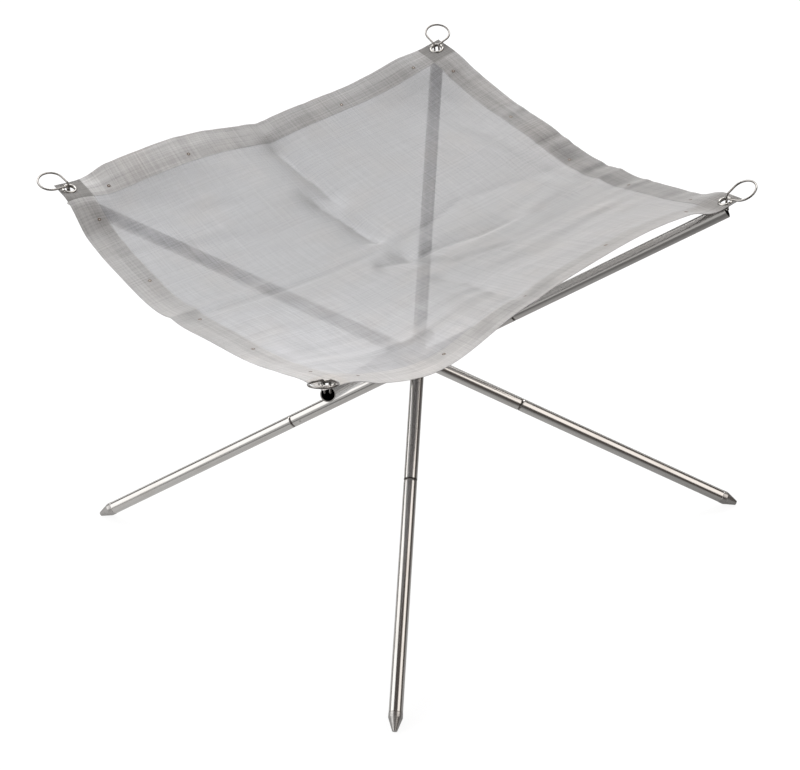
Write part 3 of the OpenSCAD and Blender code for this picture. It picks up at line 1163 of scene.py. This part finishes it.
@dataclass
class HungSheet:
    """The sheet of wire cloth with its folded hem, doubled corners and spot welds.

    The sheet's own coordinates run from the left corner to the back one, u, and from the
    left corner to the front one, v, as shares of a side. Layers are told by the height of
    their upper face above the middle of the sheet.

    Attributes:
        stand: The stand's measures.
        side: Length of a side, in millimetres, as are all lengths here.
        hem_width: Width of the hem.
        hem_turn: Distance of the turned-in raw edge from the side.
        weld_inset: Distance of the spot welds from the side.
        weld_places: Where they are along a side, from 0 to 1.
        hole: Radius of the hole for an eyelet.
        corner_flat: Distance from an eyelet up to which the corner is flat.
        corner_blend: Distance from which the sheet hangs freely.
        back_left: How its side from the left corner to the back one hangs.
        back_right: The same, from the back corner to the right one.
        front_right: The same, from the front corner to the right one.
        front_left: The same, from the left corner to the front one.
        swells: Its broad humps and hollows.
        creases: Its fold lines.
        ripples: Its soft wrinkles.
        rim: Share of a side over which the swells start.
        layer: Thickness of one layer of cloth.
        gap: Gap between layers.
        top: Height of the hem's upper face above the middle of the sheet.
        panel_points: Points of the sheet along a side.
        strip_points: Points of a hem's strip along and across it.
        corner_points: Points of a corner's patch along its side.
        weld_sides: Sides of a spot weld.
    """

    stand: Stand
    side: float = 430.0
    hem_width: float = 25.5
    hem_turn: float = 13.0
    weld_inset: float = 18.5
    weld_places: Tuple[float, ...] = (0.105, 0.3025, 0.5, 0.6975, 0.895)
    hole: float = 5.6
    corner_flat: float = 10.0
    corner_blend: float = 45.0
    rim: float = 0.10
    layer: float = 0.14
    gap: float = 0.02
    top: float = 0.3
    panel_points: int = 190
    strip_points: Tuple[int, int] = (170, 6)
    corner_points: int = 36
    weld_sides: int = 20
    back_left: Edge = Edge((-9.4, 6.7, 2.4, -0.8, -0.3, -0.8, 0.7), 3.0, ((0.50, -3.7, 0.05),))
    back_right: Edge = Edge((-41.7, 3.5, 0.0, -0.9, -0.4, 1.3), 7.0, ((0.46, -1.7, 0.05), (0.62, 4.1, 0.04)))
    front_right: Edge = Edge((-15.6, -18.1, -3.6, 0.0, 2.0, 1.5), -8.0, ((0.50, -3.1, 0.06),))
    front_left: Edge = Edge((-47.2, -10.0, -2.3, -0.8, -0.6, -1.7), 3.0, ((0.46, 4.8, 0.04),))
    swells: Tuple[Swell, ...] = (
        Swell(0.44, 0.20, 0.12, 0.14, 6.0),
        Swell(0.22, 0.60, 0.14, 0.20, 7.0),
        Swell(0.75, 0.55, 0.20, 0.18, -8.0),
        Swell(0.86, 0.16, 0.10, 0.12, -6.5),
    )
    creases: Tuple[Crease, ...] = (
        Crease(((0.492, 0.04), (0.50, 0.13), (0.508, 0.21), (0.512, 0.33)), -4.2, 0.032, 0.022, (0.06, 0.07)),
        Crease(((0.452, 0.21), (0.476, 0.30), (0.492, 0.37), (0.502, 0.47)), -4.2, 0.03, 0.016, (0.09, 0.02)),
        Crease(((0.0, 0.455), (0.09, 0.492), (0.20, 0.498), (0.38, 0.502), (0.487, 0.50)), -1.0, 0.01, 0.01),
        Crease(((0.487, 0.50), (0.6, 0.485), (0.71, 0.452), (0.82, 0.478), (0.97, 0.52)), -1.1, 0.014, 0.014),
        Crease(((0.48, 0.50), (0.515, 0.575), (0.56, 0.575), (0.66, 0.60), (0.78, 0.60)), -3.2, 0.030, 0.020),
        Crease(((0.50, 0.98), (0.49, 0.88), (0.50, 0.76), (0.47, 0.66)), -2.6, 0.030, 0.022),
        Crease(((0.484, 0.34), (0.493, 0.42), (0.499, 0.475)), -1.7, 0.014, 0.010, (0.05, 0.01)),
        Crease(((0.42, 0.545), (0.47, 0.560), (0.515, 0.575)), -2.2, 0.022, 0.022, (0.03, 0.02)),
    )
    ripples: Tuple[Ripples, ...] = (
        Ripples((0.78, 0.68), (0.20, 0.14), (1.0, -0.06), 0.130, 1.5, 0.4),
        Ripples((0.62, 0.78), (0.14, 0.12), (1.0, 0.40), 0.100, 1.2, 2.1),
        Ripples((0.84, 0.84), (0.12, 0.10), (0.6, 1.0), 0.090, 0.9, 3.0),
        Ripples((0.28, 0.84), (0.22, 0.12), (1.0, 0.02), 0.120, 1.3, 4.0),
        Ripples((0.88, 0.34), (0.14, 0.22), (0.35, 1.0), 0.110, 1.5, 5.2),
        Ripples((0.18, 0.22), (0.20, 0.18), (1.0, 0.35), 0.140, 0.8, 1.2),
        Ripples((0.97, 0.50), (0.05, 0.30), (1.0, 0.10), 0.085, 1.3, 3.3),
        Ripples((0.50, 0.02), (0.34, 0.05), (0.10, 1.0), 0.100, 0.7, 6.1),
    )

    def __post_init__(self) -> None:
        """Works out the corners and the eyelets that lie between them and the hub."""
        eyelet = self.stand.eyelet
        self.reach = math.hypot(eyelet.x, eyelet.y)
        self.bearing = math.atan2(eyelet.y, eyelet.x)
        self.fall = math.tan(math.radians(self.stand.corner_fall))
        past = self.stand.eyelet_inset * math.sqrt(2)
        self.corner_height = eyelet.z + past * self.fall
        self.corners = [self._around(self.reach + past, k) for k in range(4)]
        self.eyelets = [self._around(self.reach, k) for k in range(4)]

    def _around(self, reach: float, corner: int) -> Array:
        """A point at the corners' height towards one of them: left, back, right, front."""
        angle = self.bearing + math.pi - corner * math.pi / 2
        return np.array([reach * math.cos(angle), reach * math.sin(angle), self.corner_height])

    def _edge_point(self, first: int, second: int, edge: Edge, t: Array) -> Array:
        """Points of the edge between two corners.

        Args:
            first: Number of the corner where it starts.
            second: Number of the corner where it ends.
            edge: How it hangs.
            t: Places along it, from 0 to 1.

        Returns:
            The points, with a last axis of three.
        """
        start, end = self.corners[first], self.corners[second]
        middle = (start + end) / 2
        out = np.array([middle[0], middle[1], 0.0]) / math.hypot(middle[0], middle[1])
        points = start + (end - start) * t[..., None] + out * (edge.bow * np.sin(math.pi * t))[..., None]
        points[..., 2] += edge.height(t)
        return points

    def _patch(self, u: Array, v: Array) -> Array:
        """The patch blended between the four edges, with its swells and folds.

        Args:
            u: Share of the way from the left corner to the back one.
            v: Share of the way from the left corner to the front one.

        Returns:
            The points, with a last axis of three.
        """
        back_left = self._edge_point(0, 1, self.back_left, u)
        front_right = self._edge_point(3, 2, self.front_right, u)
        front_left = self._edge_point(0, 3, self.front_left, v)
        back_right = self._edge_point(1, 2, self.back_right, v)
        s, t = u[..., None], v[..., None]
        left, back, right, front = self.corners
        flat = (left * (1 - s) + back * s) * (1 - t) + (front * (1 - s) + right * s) * t
        points = back_left * (1 - t) + front_right * t + front_left * (1 - s) + back_right * s - flat
        margin = np.clip(np.minimum.reduce([u, v, 1 - u, 1 - v]) / self.rim, 0, 1)
        points[..., 2] += sum(f.rise(u, v) for f in self.swells) * margin + self._folds(u, v)
        return points

    def _folds(self, u: Array, v: Array) -> Array:
        """Height of the creases and ripples."""
        return sum(f.rise(u, v) for f in self.creases + self.ripples)

    def _fold_slope(self, u: Array, v: Array) -> Array:
        """Slope of the folds away from the left corner.

        Args:
            u: Share of the way from the left corner to the back one.
            v: Share of the way from the left corner to the front one.

        Returns:
            The rise in millimetres for each millimetre.
        """
        step = 0.004
        across_u = self._folds(u + step, v) - self._folds(u - step, v)
        across_v = self._folds(u, v + step) - self._folds(u, v - step)
        return (across_u + across_v) / (2 * step * self.side)

    def surface(self, u: Array, v: Array) -> Array:
        """Points of the middle of the sheet.

        Args:
            u: Share of the way from the left corner to the back one.
            v: Share of the way from the left corner to the front one.

        Returns:
            The points, with a last axis of three.
        """
        points = self._patch(u, v)
        flat = np.empty(u.shape)
        away = np.empty(u.shape)
        far_u, far_v = u >= 0.5, v >= 0.5
        quarters = (~far_u & ~far_v, far_u & ~far_v, far_u & far_v, ~far_u & far_v)
        for where, corner, eyelet in zip(quarters, self.corners, self.eyelets):
            reach = math.hypot(corner[0], corner[1])
            inwards = reach - (points[..., 0] * corner[0] + points[..., 1] * corner[1]) / reach
            distance = np.hypot(points[..., 0] - eyelet[0], points[..., 1] - eyelet[1])
            flat = np.where(where, self.corner_height - inwards * self.fall, flat)
            away = np.where(where, distance, away)
        share = np.clip((away - self.corner_flat) / (self.corner_blend - self.corner_flat), 0, 1)
        share = share * share * (3 - 2 * share)
        points[..., 2] = flat + (points[..., 2] - flat) * share
        return points

    def raised(self, u: Array, v: Array, height: float) -> Array:
        """Points at a height above the middle of the sheet, square to it.

        Args:
            u: Share of the way from the left corner to the back one.
            v: Share of the way from the left corner to the front one.
            height: The height.

        Returns:
            The points.
        """
        step = 0.0015
        du = self.surface(np.clip(u + step, 0, 1), v) - self.surface(np.clip(u - step, 0, 1), v)
        dv = self.surface(u, np.clip(v + step, 0, 1)) - self.surface(u, np.clip(v - step, 0, 1))
        normal = np.cross(dv, du)
        normal /= np.linalg.norm(normal, axis=-1)[..., None]
        return self.surface(u, v) + normal * height

    def slab(self, solid: Solid, u: Array, v: Array, top: float, bottom: float) -> None:
        """Adds a layer of cloth over a grid of places, with holes for the eyelets.

        Args:
            solid: The mesh to add to.
            u: Grid of places, rows by columns.
            v: The same.
            top: Height of its upper face above the middle of the sheet.
            bottom: Height of its lower face.
        """
        upper = self.raised(u, v, top)
        middles = (upper[:-1, :-1] + upper[1:, 1:]) / 2
        keep = np.ones(middles.shape[:2], bool)
        for eyelet in self.eyelets:
            keep &= np.hypot(middles[..., 0] - eyelet[0], middles[..., 1] - eyelet[1]) > self.hole
        marks = np.stack([u, v], -1) * self.side
        solid.add_slab(upper, self.raised(u, v, bottom), marks, keep, self._fold_slope(u, v))

    @staticmethod
    def spread(count: int, finer: float = 0.5) -> Array:
        """Places from 0 to 1 that lie closer together towards both ends."""
        t = np.linspace(0, 1, count)
        return t - finer * np.sin(2 * math.pi * t) / (2 * math.pi)

    def build(
        self,
        cloth: bpy.types.Material,
        hem: bpy.types.Material,
        corner: bpy.types.Material,
        weld: bpy.types.Material,
    ) -> None:
        """Builds the sheet and everything on it.

        Args:
            cloth: Finish of the single cloth.
            hem: Finish of the hem.
            corner: Finish of the corners, where two hems meet.
            weld: Finish of the spot welds.
        """
        depth = self.layer + self.gap
        sheet = self._build_panel(cloth, self.top - 2 * depth)
        inner = self.hem_width
        turn = self._build_strips("hem_turned_edge", hem, self.hem_turn, inner - 0.6, self.top - depth)
        fold = self._build_strips("hem_fold", hem, 0.15, inner, self.top)
        corners = self._build_corners(corner, self.top)
        welds = self._build_welds(weld, self.top)
        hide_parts("mesh_sheet")

    def _build_panel(self, cloth: bpy.types.Material, top: float) -> bpy.types.Object:
        """Builds the sheet itself.

        Args:
            cloth: Its finish.
            top: Height of its upper face.

        Returns:
            The sheet.
        """
        solid = Solid()
        places = self.spread(self.panel_points)
        u, v = np.meshgrid(places, places, indexing="ij")
        self.slab(solid, u, v, top, top - self.layer)
        return solid.build("wire_cloth_sheet", cloth, "sheet", "wire_cloth")

    def _build_strips(
        self, name: str, cloth: bpy.types.Material, near: float, far: float, top: float
    ) -> bpy.types.Object:
        """Builds a strip of cloth along each side, from hem to hem.

        Args:
            name: Name of the piece.
            cloth: Its finish.
            near: Distance of the strips' outer edge from the side.
            far: Distance of their inner edge.
            top: Height of their upper face.

        Returns:
            The four strips as one object.
        """
        solid = Solid()
        ends = self.hem_width / self.side
        count_along, count_across = self.strip_points
        along = ends + self.spread(count_along, 0.3) * (1 - 2 * ends)
        across = np.linspace(near, far, count_across) / self.side
        long, short = np.meshgrid(along, across, indexing="ij")
        for u, v in ((long, short), (long[::-1], 1 - short[::-1]), (short, long), (1 - short, long)):
            self.slab(solid, u, v, top, top - self.layer)
        return solid.build(name, cloth, "sheet", "wire_cloth")

    def _build_corners(self, cloth: bpy.types.Material, top: float) -> bpy.types.Object:
        """Builds the doubled cloth where two hems meet.

        Args:
            cloth: Its finish.
            top: Height of its upper face.

        Returns:
            The four corners as one object.
        """
        solid = Solid()
        places = np.linspace(0.2, self.hem_width, self.corner_points) / self.side
        near_u, near_v = np.meshgrid(places, places, indexing="ij")
        for u in (near_u, 1 - near_u):
            for v in (near_v, 1 - near_v):
                for upper in (top, top - self.layer - self.gap):
                    self.slab(solid, u, v, upper, upper - self.layer)
        return solid.build("corner_patches", cloth, "sheet", "wire_cloth")

    def _build_welds(self, weld: bpy.types.Material, top: float) -> bpy.types.Object:
        """Builds the spot welds along each side: low rings round a pressed middle.

        Args:
            weld: Their finish.
            top: Height of the face that they are on.

        Returns:
            The welds as one object.
        """
        solid = Solid()
        inset = self.weld_inset / self.side
        crown = [(0.02, 0.05), (0.5, 0.04), (0.85, 0.16), (1.25, 0.20), (1.55, 0.08)]
        foot = [(1.6, 0.01), (0.02, 0.0)]
        sides = [[(t, share) for t in self.weld_places] for share in (inset, 1 - inset)]
        places = [place for side in sides for place in side]
        for u, v in places + [(v, u) for u, v in places]:
            at = np.array([[u]]), np.array([[v]])
            middle = Vector(self.raised(*at, top)[0, 0])
            normal = Vector(self.raised(*at, top + 1)[0, 0]) - middle
            frame = Matrix.Translation(middle) @ normal.to_track_quat("Z", "Y").to_matrix().to_4x4()
            solid.add_spun(frame, crown + foot, self.weld_sides)
        return solid.build("spot_welds", weld, "sheet", "wire_cloth")


# ---- The spring clips ----


@dataclass
class SpringClips:
    """Four bent wires, each with two prongs in a tube's mouth and a ring for a finger.

    Places are seen from the mouth: X runs outwards, Y sideways and Z up.

    Attributes:
        stand: The stand's measures.
        wire: Thickness of the wire, in millimetres, as are all lengths here.
        ring_diameter: Outer diameter of the ring.
        ring_reach: Distance of the ring's middle from the legs.
        prong_spread: Distance between the prongs.
        prong_rise: Height of the prongs above the middle of the mouth.
        prong_depth: Length of a prong inside the tube.
        elbow: How far the wire bulges out of the mouth.
        elbow_rise: Rise of that bulge.
        stem: Place of the legs, outwards from the mouth.
        flange: Height of the eyelet's flange.
        sheet_half: Half the thickness of the sheet.
        bend_reach: Length that the bend at the top takes from the leg and from the ring.
        bend_lift: Clear height of the bend above the eyelet.
        leg_splay: How much further apart the legs are at the top.
        sides: Sides of the wire.
        ring_steps: Points of half the ring.
    """

    stand: Stand
    wire: float = 1.8
    ring_diameter: float = 24.5
    ring_reach: float = 15.0
    prong_spread: float = 4.2
    prong_rise: float = 1.6
    prong_depth: float = 12.0
    elbow: float = 1.1
    elbow_rise: float = 1.6
    stem: float = -0.2
    flange: float = 1.0
    sheet_half: float = 0.308
    bend_reach: float = 2.4
    bend_lift: float = 2.2
    leg_splay: float = 0.2
    sides: int = 14
    ring_steps: int = 12

    @property
    def stem_top(self) -> float:
        """Height of the bends above the mouth."""
        return self.stand.eyelet_lift + self.sheet_half + self.flange + self.wire / 2 + self.bend_lift

    @property
    def ring(self) -> float:
        """Radius of the ring's middle line."""
        return (self.ring_diameter - self.wire) / 2

    @property
    def touch(self) -> float:
        """Angle from the ring's far end, in radians, at which a leg touches the ring."""
        half = self.prong_spread / 2 + self.leg_splay
        return math.atan2(half, -self.ring_reach) - math.acos(self.ring / math.hypot(self.ring_reach, half))

    def _in_plane(self, along: float, side: float, rise: float, twist: float) -> Array:
        """A point of the ring's plane, which is twisted about the legs and raised.

        Args:
            along: Distance outwards in the plane.
            side: Distance sideways.
            rise: Rise of the plane, in radians.
            twist: Its twist.

        Returns:
            The point.
        """
        height = side * math.sin(twist)
        return np.array([
            self.stem + along * math.cos(rise) - height * math.sin(rise),
            side * math.cos(twist),
            self.stem_top + along * math.sin(rise) + height * math.cos(rise),
        ])

    def _ring_point(self, angle: float, rise: float, twist: float) -> Array:
        """A point of the ring at an angle from its far end, in radians."""
        reach = self.ring_reach + self.ring * math.cos(angle)
        return self._in_plane(reach, self.ring * math.sin(angle), rise, twist)

    def _half(self, rise: float, twist: float) -> List[Array]:
        """Points of half a clip, from the end of its prong to near the ring's far end.

        Args:
            rise: Rise of the ring's plane, in radians.
            twist: Its twist.

        Returns:
            The points.
        """
        prong = self.prong_spread / 2
        slope = self.stand.slope
        outwards = np.array([math.cos(slope), 0.0, math.sin(slope)])
        bend = np.array([-math.sin(slope), 0.0, math.cos(slope)]) * self.prong_rise + np.array([0, prong, 0])
        low, lift = bend[2], self.elbow_rise
        points = [bend - outwards * self.prong_depth * s for s in (1.0, 0.75, 0.5, 0.25, 0.0)]
        points += [
            np.array([self.elbow, prong, low + lift * 0.55]),
            np.array([self.elbow * 0.6, prong, low + lift * 1.3]),
            np.array([self.stem, prong, low + lift * 2.4]),
            np.array([self.stem, prong, self.stand.eyelet_lift + 0.5]),
        ]
        top = self._in_plane(0.0, prong + self.leg_splay, rise, twist)
        touch = self._ring_point(self.touch, rise, twist)
        over = top + self.bend_reach * (touch - top) / np.linalg.norm(touch - top)
        below = np.array([self.stem, prong, top[2] - self.bend_reach])
        for t in (0.0, 0.25, 0.5, 0.75, 1.0):
            points.append((1 - t) ** 2 * below + 2 * t * (1 - t) * top + t**2 * over)
        points.append((over + touch) / 2)
        shares = [1 - i / self.ring_steps for i in range(self.ring_steps)]
        return points + [self._ring_point(self.touch * share, rise, twist) for share in shares]

    @staticmethod
    def _smooth(points: Sequence[Array], steps: int = 4) -> Array:
        """A smooth curve through points.

        Args:
            points: The points.
            steps: Steps from each point to the next.

        Returns:
            Points of the curve.
        """
        ends = [2 * points[0] - points[1], *points, 2 * points[-1] - points[-2]]
        curve = []
        for a, b, c, d in zip(ends, ends[1:], ends[2:], ends[3:]):
            for i in range(steps):
                t = i / steps
                bent = (2 * a - 5 * b + 4 * c - d) * t**2 + (3 * b - a - 3 * c + d) * t**3
                curve.append(0.5 * (2 * b + (c - a) * t + bent))
        curve.append(points[-1])
        return np.array(curve)

    def build(self, finish: bpy.types.Material) -> None:
        """Builds the four clips.

        Args:
            finish: Finish of the wire.
        """
        for pole in self.stand.poles:
            rise, twist = math.radians(pole.ring_rise), math.radians(pole.ring_twist)
            near = self._half(rise, twist)
            far = [p * np.array([1, -1, 1]) for p in reversed(self._half(rise, -twist))]
            path = self._smooth([*near, self._ring_point(0.0, rise, twist), *far])
            frame = self.stand.at_mouth(pole)
            placed = np.array([frame @ Vector(p) for p in path])
            solid = Solid()
            solid.add_tube(placed, self.wire / 2, self.sides)
            clip = solid.build(f"clip_wire_{pole.letter}", finish, f"clip_{pole.letter}", "spring_wire")
            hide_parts(f"spring_clip_{pole.letter}")


# ---- The carried-over parts ----


class Part(Enum):
    """The groups of nodes that keep their shape and get a finish."""

    TUBES = ("middle_tube", "lower_tube", "upper_tube")
    FEET = ("foot_plug",)
    EYELETS = ("eyelet", "back_washer")


@dataclass
class MetalParts:
    """Puts finishes on the nodes whose shape is right already.

    Attributes:
        stand: The stand's measures.
        nodes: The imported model's objects by name.
        drawn: Finish of the tubes.
        feet: Finish of the foot plugs.
        hub: Finish of the hub block.
        fasteners: Finish of the screws and washers.
        eyelets: Finish of the eyelets and their back washers.
    """

    stand: Stand
    nodes: Dict[str, bpy.types.Object]
    drawn: DrawnSteel = DrawnSteel()
    feet: TurnedSteel = TurnedSteel((0.47, 0.455, 0.44), 0.24)
    hub: TurnedSteel = TurnedSteel((0.58, 0.58, 0.585), 0.30, 0.5)
    fasteners: BrightMetal = BrightMetal((0.62, 0.61, 0.60), 0.2, 0.8)
    eyelets: BrightMetal = BrightMetal((0.42, 0.405, 0.385), 0.16, 0.4)

    def _paint(self, node: str, finish: bpy.types.Material) -> None:
        """Puts a finish on every slot of a node.

        Args:
            node: Name of the node.
            finish: The finish.
        """
        mesh = self.nodes[node].data
        if not mesh.materials:
            mesh.materials.append(finish)
        for i in range(len(mesh.materials)):
            mesh.materials[i] = finish
        LOG.info("%s: %s", node, finish.name)

    def dress(self) -> None:
        """Puts on all finishes."""
        eyelet = self.eyelets.material("eyelet_nickel")
        for pole in self.stand.poles:
            frame = self.stand.on_pole(pole)
            tube = self.drawn.material(f"tube_steel_{pole.letter}", frame)
            foot = self.feet.material(f"foot_steel_{pole.letter}", frame)
            for part, finish in ((Part.TUBES, tube), (Part.FEET, foot), (Part.EYELETS, eyelet)):
                for stem in part.value:
                    self._paint(f"{stem}_{pole.letter}", finish)
        middle = Matrix.Translation(Vector((0, 0, self.stand.hub_height)))
        upright = middle @ Matrix.Rotation(-math.pi / 2, 4, "Y")
        self._paint("hub_block", self.hub.material("hub_alloy", upright))
        fastener = self.fasteners.material("fastener_steel")
        for node in ("pivot_screws", "spacer_washers", "head_washers"):
            self._paint(node, fastener)


# ---- Studio ----


@dataclass(frozen=True)
class SoftBox:
    """One soft light of the room.

    Attributes:
        azimuth: Where its middle stands, in degrees from +Y towards +X.
        elevation: Height of its middle, in degrees.
        width: Its width, in degrees.
        height: Its height, in degrees.
        edge: Width of its soft edge, in degrees.
        colour: Its light.
        mirrored: Share of it that polished metal shows.
    """

    azimuth: float
    elevation: float
    width: float
    height: float
    edge: float
    colour: Colour
    mirrored: float = 1.0

    def mask(self, tree: ShaderTree, way: Value) -> Value:
        """One in the directions that the light fills, and nought outside.

        Args:
            tree: The world's tree.
            way: Direction of the ray.

        Returns:
            The mask.
        """
        az, el = math.radians(self.azimuth), math.radians(self.elevation)
        middle = (math.sin(az) * math.cos(el), math.cos(az) * math.cos(el), math.sin(el))
        side = (math.cos(az), -math.sin(az), 0.0)
        up = (-math.sin(az) * math.sin(el), -math.cos(az) * math.sin(el), math.cos(el))
        ahead = tree.along(way, middle)
        across, above = (tree.along(way, axis) / ahead.at_least(0.05) for axis in (side, up))
        wide, high, soft = (math.tan(math.radians(a)) for a in (self.width / 2, self.height / 2, self.edge))
        return across.band(-wide, wide, soft) * above.band(-high, high, soft) * (ahead > 0.05)


@dataclass
class Studio:
    """A white floor and a dim room with soft lights.

    Attributes:
        room: Colour of the room where no light fills it.
        lights: The soft lights.
        backdrop: The white wall behind the stand, as metal shows it.
        floor_reach: Half the floor's side, in metres.
        floor_drop: How far the floor is below the feet, in metres.
        floor_white: Strength of the floor's white to the camera.
        floor_share: Share of the floor's white that the lights give it.
        floor_pale: Colour of the floor that lights the stand from below.
        pool_left: How far left of the stand the floor's bright pool is, in metres.
        pool_reach: Half its width and half its depth, in metres.
        pool_edge: Shares of that reach where its edge starts and ends.
        mirrored: Strength of the floor's white as metal shows it near the stand.
        mirrored_fall: How much that falls for each metre to the right.
    """

    room: Colour = (0.105, 0.092, 0.086)
    lights: Tuple[SoftBox, ...] = (
        SoftBox(-125.0, 4.0, 90.0, 44.0, 14.0, (0.60, 0.60, 0.60)),
        SoftBox(-102.0, 35.0, 50.0, 32.0, 14.0, (1.75, 1.75, 1.75)),
        SoftBox(108.0, 43.0, 46.0, 18.0, 13.0, (1.60, 1.52, 1.46)),
        SoftBox(-8.0, 51.0, 66.0, 24.0, 10.0, (3.9, 3.9, 3.9)),
        SoftBox(-165.0, 48.0, 80.0, 30.0, 12.0, (1.2, 1.2, 1.2), 0.12),
    )
    backdrop: SoftBox = SoftBox(-9.0, 4.0, 100.0, 16.0, 7.0, (1.0, 1.0, 1.0))
    floor_reach: float = 3.0
    floor_drop: float = 0.0002
    floor_white: float = 0.88
    floor_share: float = 0.18
    floor_pale: float = 0.75
    pool_left: float = 0.30
    pool_reach: Tuple[float, float] = (0.75, 0.50)
    pool_edge: Tuple[float, float] = (0.55, 1.25)
    mirrored: float = 0.42
    mirrored_fall: float = 0.46

    def build(self) -> None:
        """Builds the floor and the room."""
        self._lay_floor()
        self._light_room()

    def _lay_floor(self) -> None:
        """A pale floor that keeps the object's shadow, lit in a pool about the stand."""
        mesh = bpy.data.meshes.new("floor")
        reach = self.floor_reach
        corners = [(-reach, -reach, 0), (reach, -reach, 0), (reach, reach, 0), (-reach, reach, 0)]
        mesh.from_pydata(corners, [], [(0, 1, 2, 3)])
        floor = bpy.data.objects.new("floor", mesh)
        floor.location.z = -self.floor_drop
        bpy.context.scene.collection.objects.link(floor)
        made = new_material("floor_white")
        tree = ShaderTree(made.node_tree)
        seen = tree.node("ShaderNodeLightPath", output="Is Camera Ray")
        mirrored = tree.node("ShaderNodeLightPath", output="Is Glossy Ray")
        passed = tree.node("ShaderNodeLightPath", output="Is Transmission Ray")
        place = tree.local()
        x, y = tree.part(place, 0), tree.part(place, 1)
        width, depth = self.pool_reach
        away = (((x + self.pool_left) / width) ** 2.0 + (y / depth) ** 2.0).root()
        glow = (self.mirrored - x * self.mirrored_fall).at_least(0.1) * away.rise(*reversed(self.pool_edge))
        strength = seen * self.floor_white + (mirrored + passed) * glow
        matt = tree.node("ShaderNodeBsdfDiffuse", inputs={"Color": (*[self.floor_share] * 3, 1.0)})
        white = tree.node("ShaderNodeEmission", inputs={"Color": (1, 1, 1, 1), "Strength": strength})
        pale = tree.node("ShaderNodeBsdfDiffuse", inputs={"Color": (*[self.floor_pale] * 3, 1.0)})
        shown = tree.node("ShaderNodeAddShader", inputs={0: matt, 1: white})
        direct = (seen + mirrored + passed) > 0.5
        surface = tree.node("ShaderNodeMixShader", inputs={0: direct, 1: pale, 2: shown})
        tree.node("ShaderNodeOutputMaterial", inputs={"Surface": surface})
        mesh.materials.append(made)

    def _light_room(self) -> None:
        """The room's light by direction."""
        world = bpy.data.worlds.new("studio_room")
        bpy.context.scene.world = world
        world.use_nodes = True
        tree = ShaderTree(world.node_tree)
        way = tree.node("ShaderNodeTexCoord", output="Generated")
        light: Union[Value, Colour] = self.room
        seen = tree.node("ShaderNodeLightPath", output="Is Camera Ray")
        glossy = tree.node("ShaderNodeLightPath", output="Is Glossy Ray")
        passed = tree.node("ShaderNodeLightPath", output="Is Transmission Ray")
        for box in self.lights:
            shown = box.mask(tree, way) * (1.0 - glossy * (1.0 - box.mirrored))
            light = tree.blend(shown, light, box.colour)
        room = tree.node("ShaderNodeBackground", inputs={"Color": light, "Strength": 1.0})
        white = tree.node("ShaderNodeBackground", inputs={"Color": (1, 1, 1, 1), "Strength": 1.0})
        pale = seen + passed + glossy * self.backdrop.mask(tree, way)
        both = tree.node("ShaderNodeMixShader", inputs={0: pale, 1: room, 2: white})
        tree.node("ShaderNodeOutputWorld", inputs={"Surface": both})


@dataclass
class Viewpoint:
    """The camera, by the point that it looks at.

    Attributes:
        target: The point, in millimetres.
        azimuth: Turn from straight in front towards the right, in degrees.
        elevation: Height above the level, in degrees.
        roll: Turn of the picture, in degrees.
        distance: Distance from the point, in millimetres.
        lens: Focal length for a sensor 36 mm wide.
    """

    target: Tuple[float, float, float] = (-3.8, -0.6, 144.4)
    azimuth: float = 8.85
    elevation: float = 34.32
    roll: float = -4.73
    distance: float = 1948.9
    lens: float = 96.32

    def place(self) -> None:
        """Makes the camera."""
        az, el, roll = (math.radians(a) for a in (self.azimuth, self.elevation, self.roll))
        back = Vector((math.sin(az) * math.cos(el), -math.cos(az) * math.cos(el), math.sin(el)))
        right = (-back).cross(Vector((0, 0, 1))).normalized()
        up = right.cross(-back)
        across = math.cos(roll) * right + math.sin(roll) * up
        above = math.cos(roll) * up - math.sin(roll) * right
        data = bpy.data.cameras.new("camera")
        data.sensor_fit = "HORIZONTAL"
        data.sensor_width = 36.0
        data.lens = self.lens
        data.clip_start, data.clip_end = 0.05, 60.0
        camera = bpy.data.objects.new("camera", data)
        turned = Matrix((across, above, back)).transposed().to_4x4()
        spot = (Vector(self.target) + back * self.distance) * MM
        camera.matrix_world = Matrix.Translation(spot) @ turned
        bpy.context.scene.collection.objects.link(camera)
        bpy.context.scene.camera = camera


def main() -> None:
    """Builds the dressed fire pit and its studio."""
    logging.basicConfig(level=logging.INFO, format="%(message)s")
    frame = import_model()
    bpy.context.scene.view_settings.view_transform = "Standard"
    Viewpoint().place()
    Studio().build()
    stand = Stand()
    MetalParts(stand, frame["nodes"]).dress()
    cloth = WireCloth((0.292, 0.296, 0.312), (0.318, 0.299, 0.290), 0.57, patches=CLOTH_LIGHT_AND_SHADE)
    # The hem's wires are drawn paler than the single cloth's: painted light for the light that passes between
    # its layers.
    hem = WireCloth((0.45, 0.443, 0.440), (0.43, 0.405, 0.388), 0.58, 0.90, 0.25, HEM_LIGHT_AND_SHADE)
    corner = WireCloth((0.20, 0.19, 0.18), (0.18, 0.17, 0.16), 0.70, patches=CORNER_LIGHT_AND_SHADE)
    HungSheet(stand).build(
        cloth.material("wire_cloth_weave"),
        hem.material("wire_cloth_hem"),
        corner.material("wire_cloth_corner"),
        WeldTint().material("weld_tint"),
    )
    wire = BrightMetal((0.30, 0.285, 0.27), 0.16, 0.6, 0.3).material("spring_wire_bright")
    SpringClips(stand).build(wire)


if __name__ == "__main__":
    main()
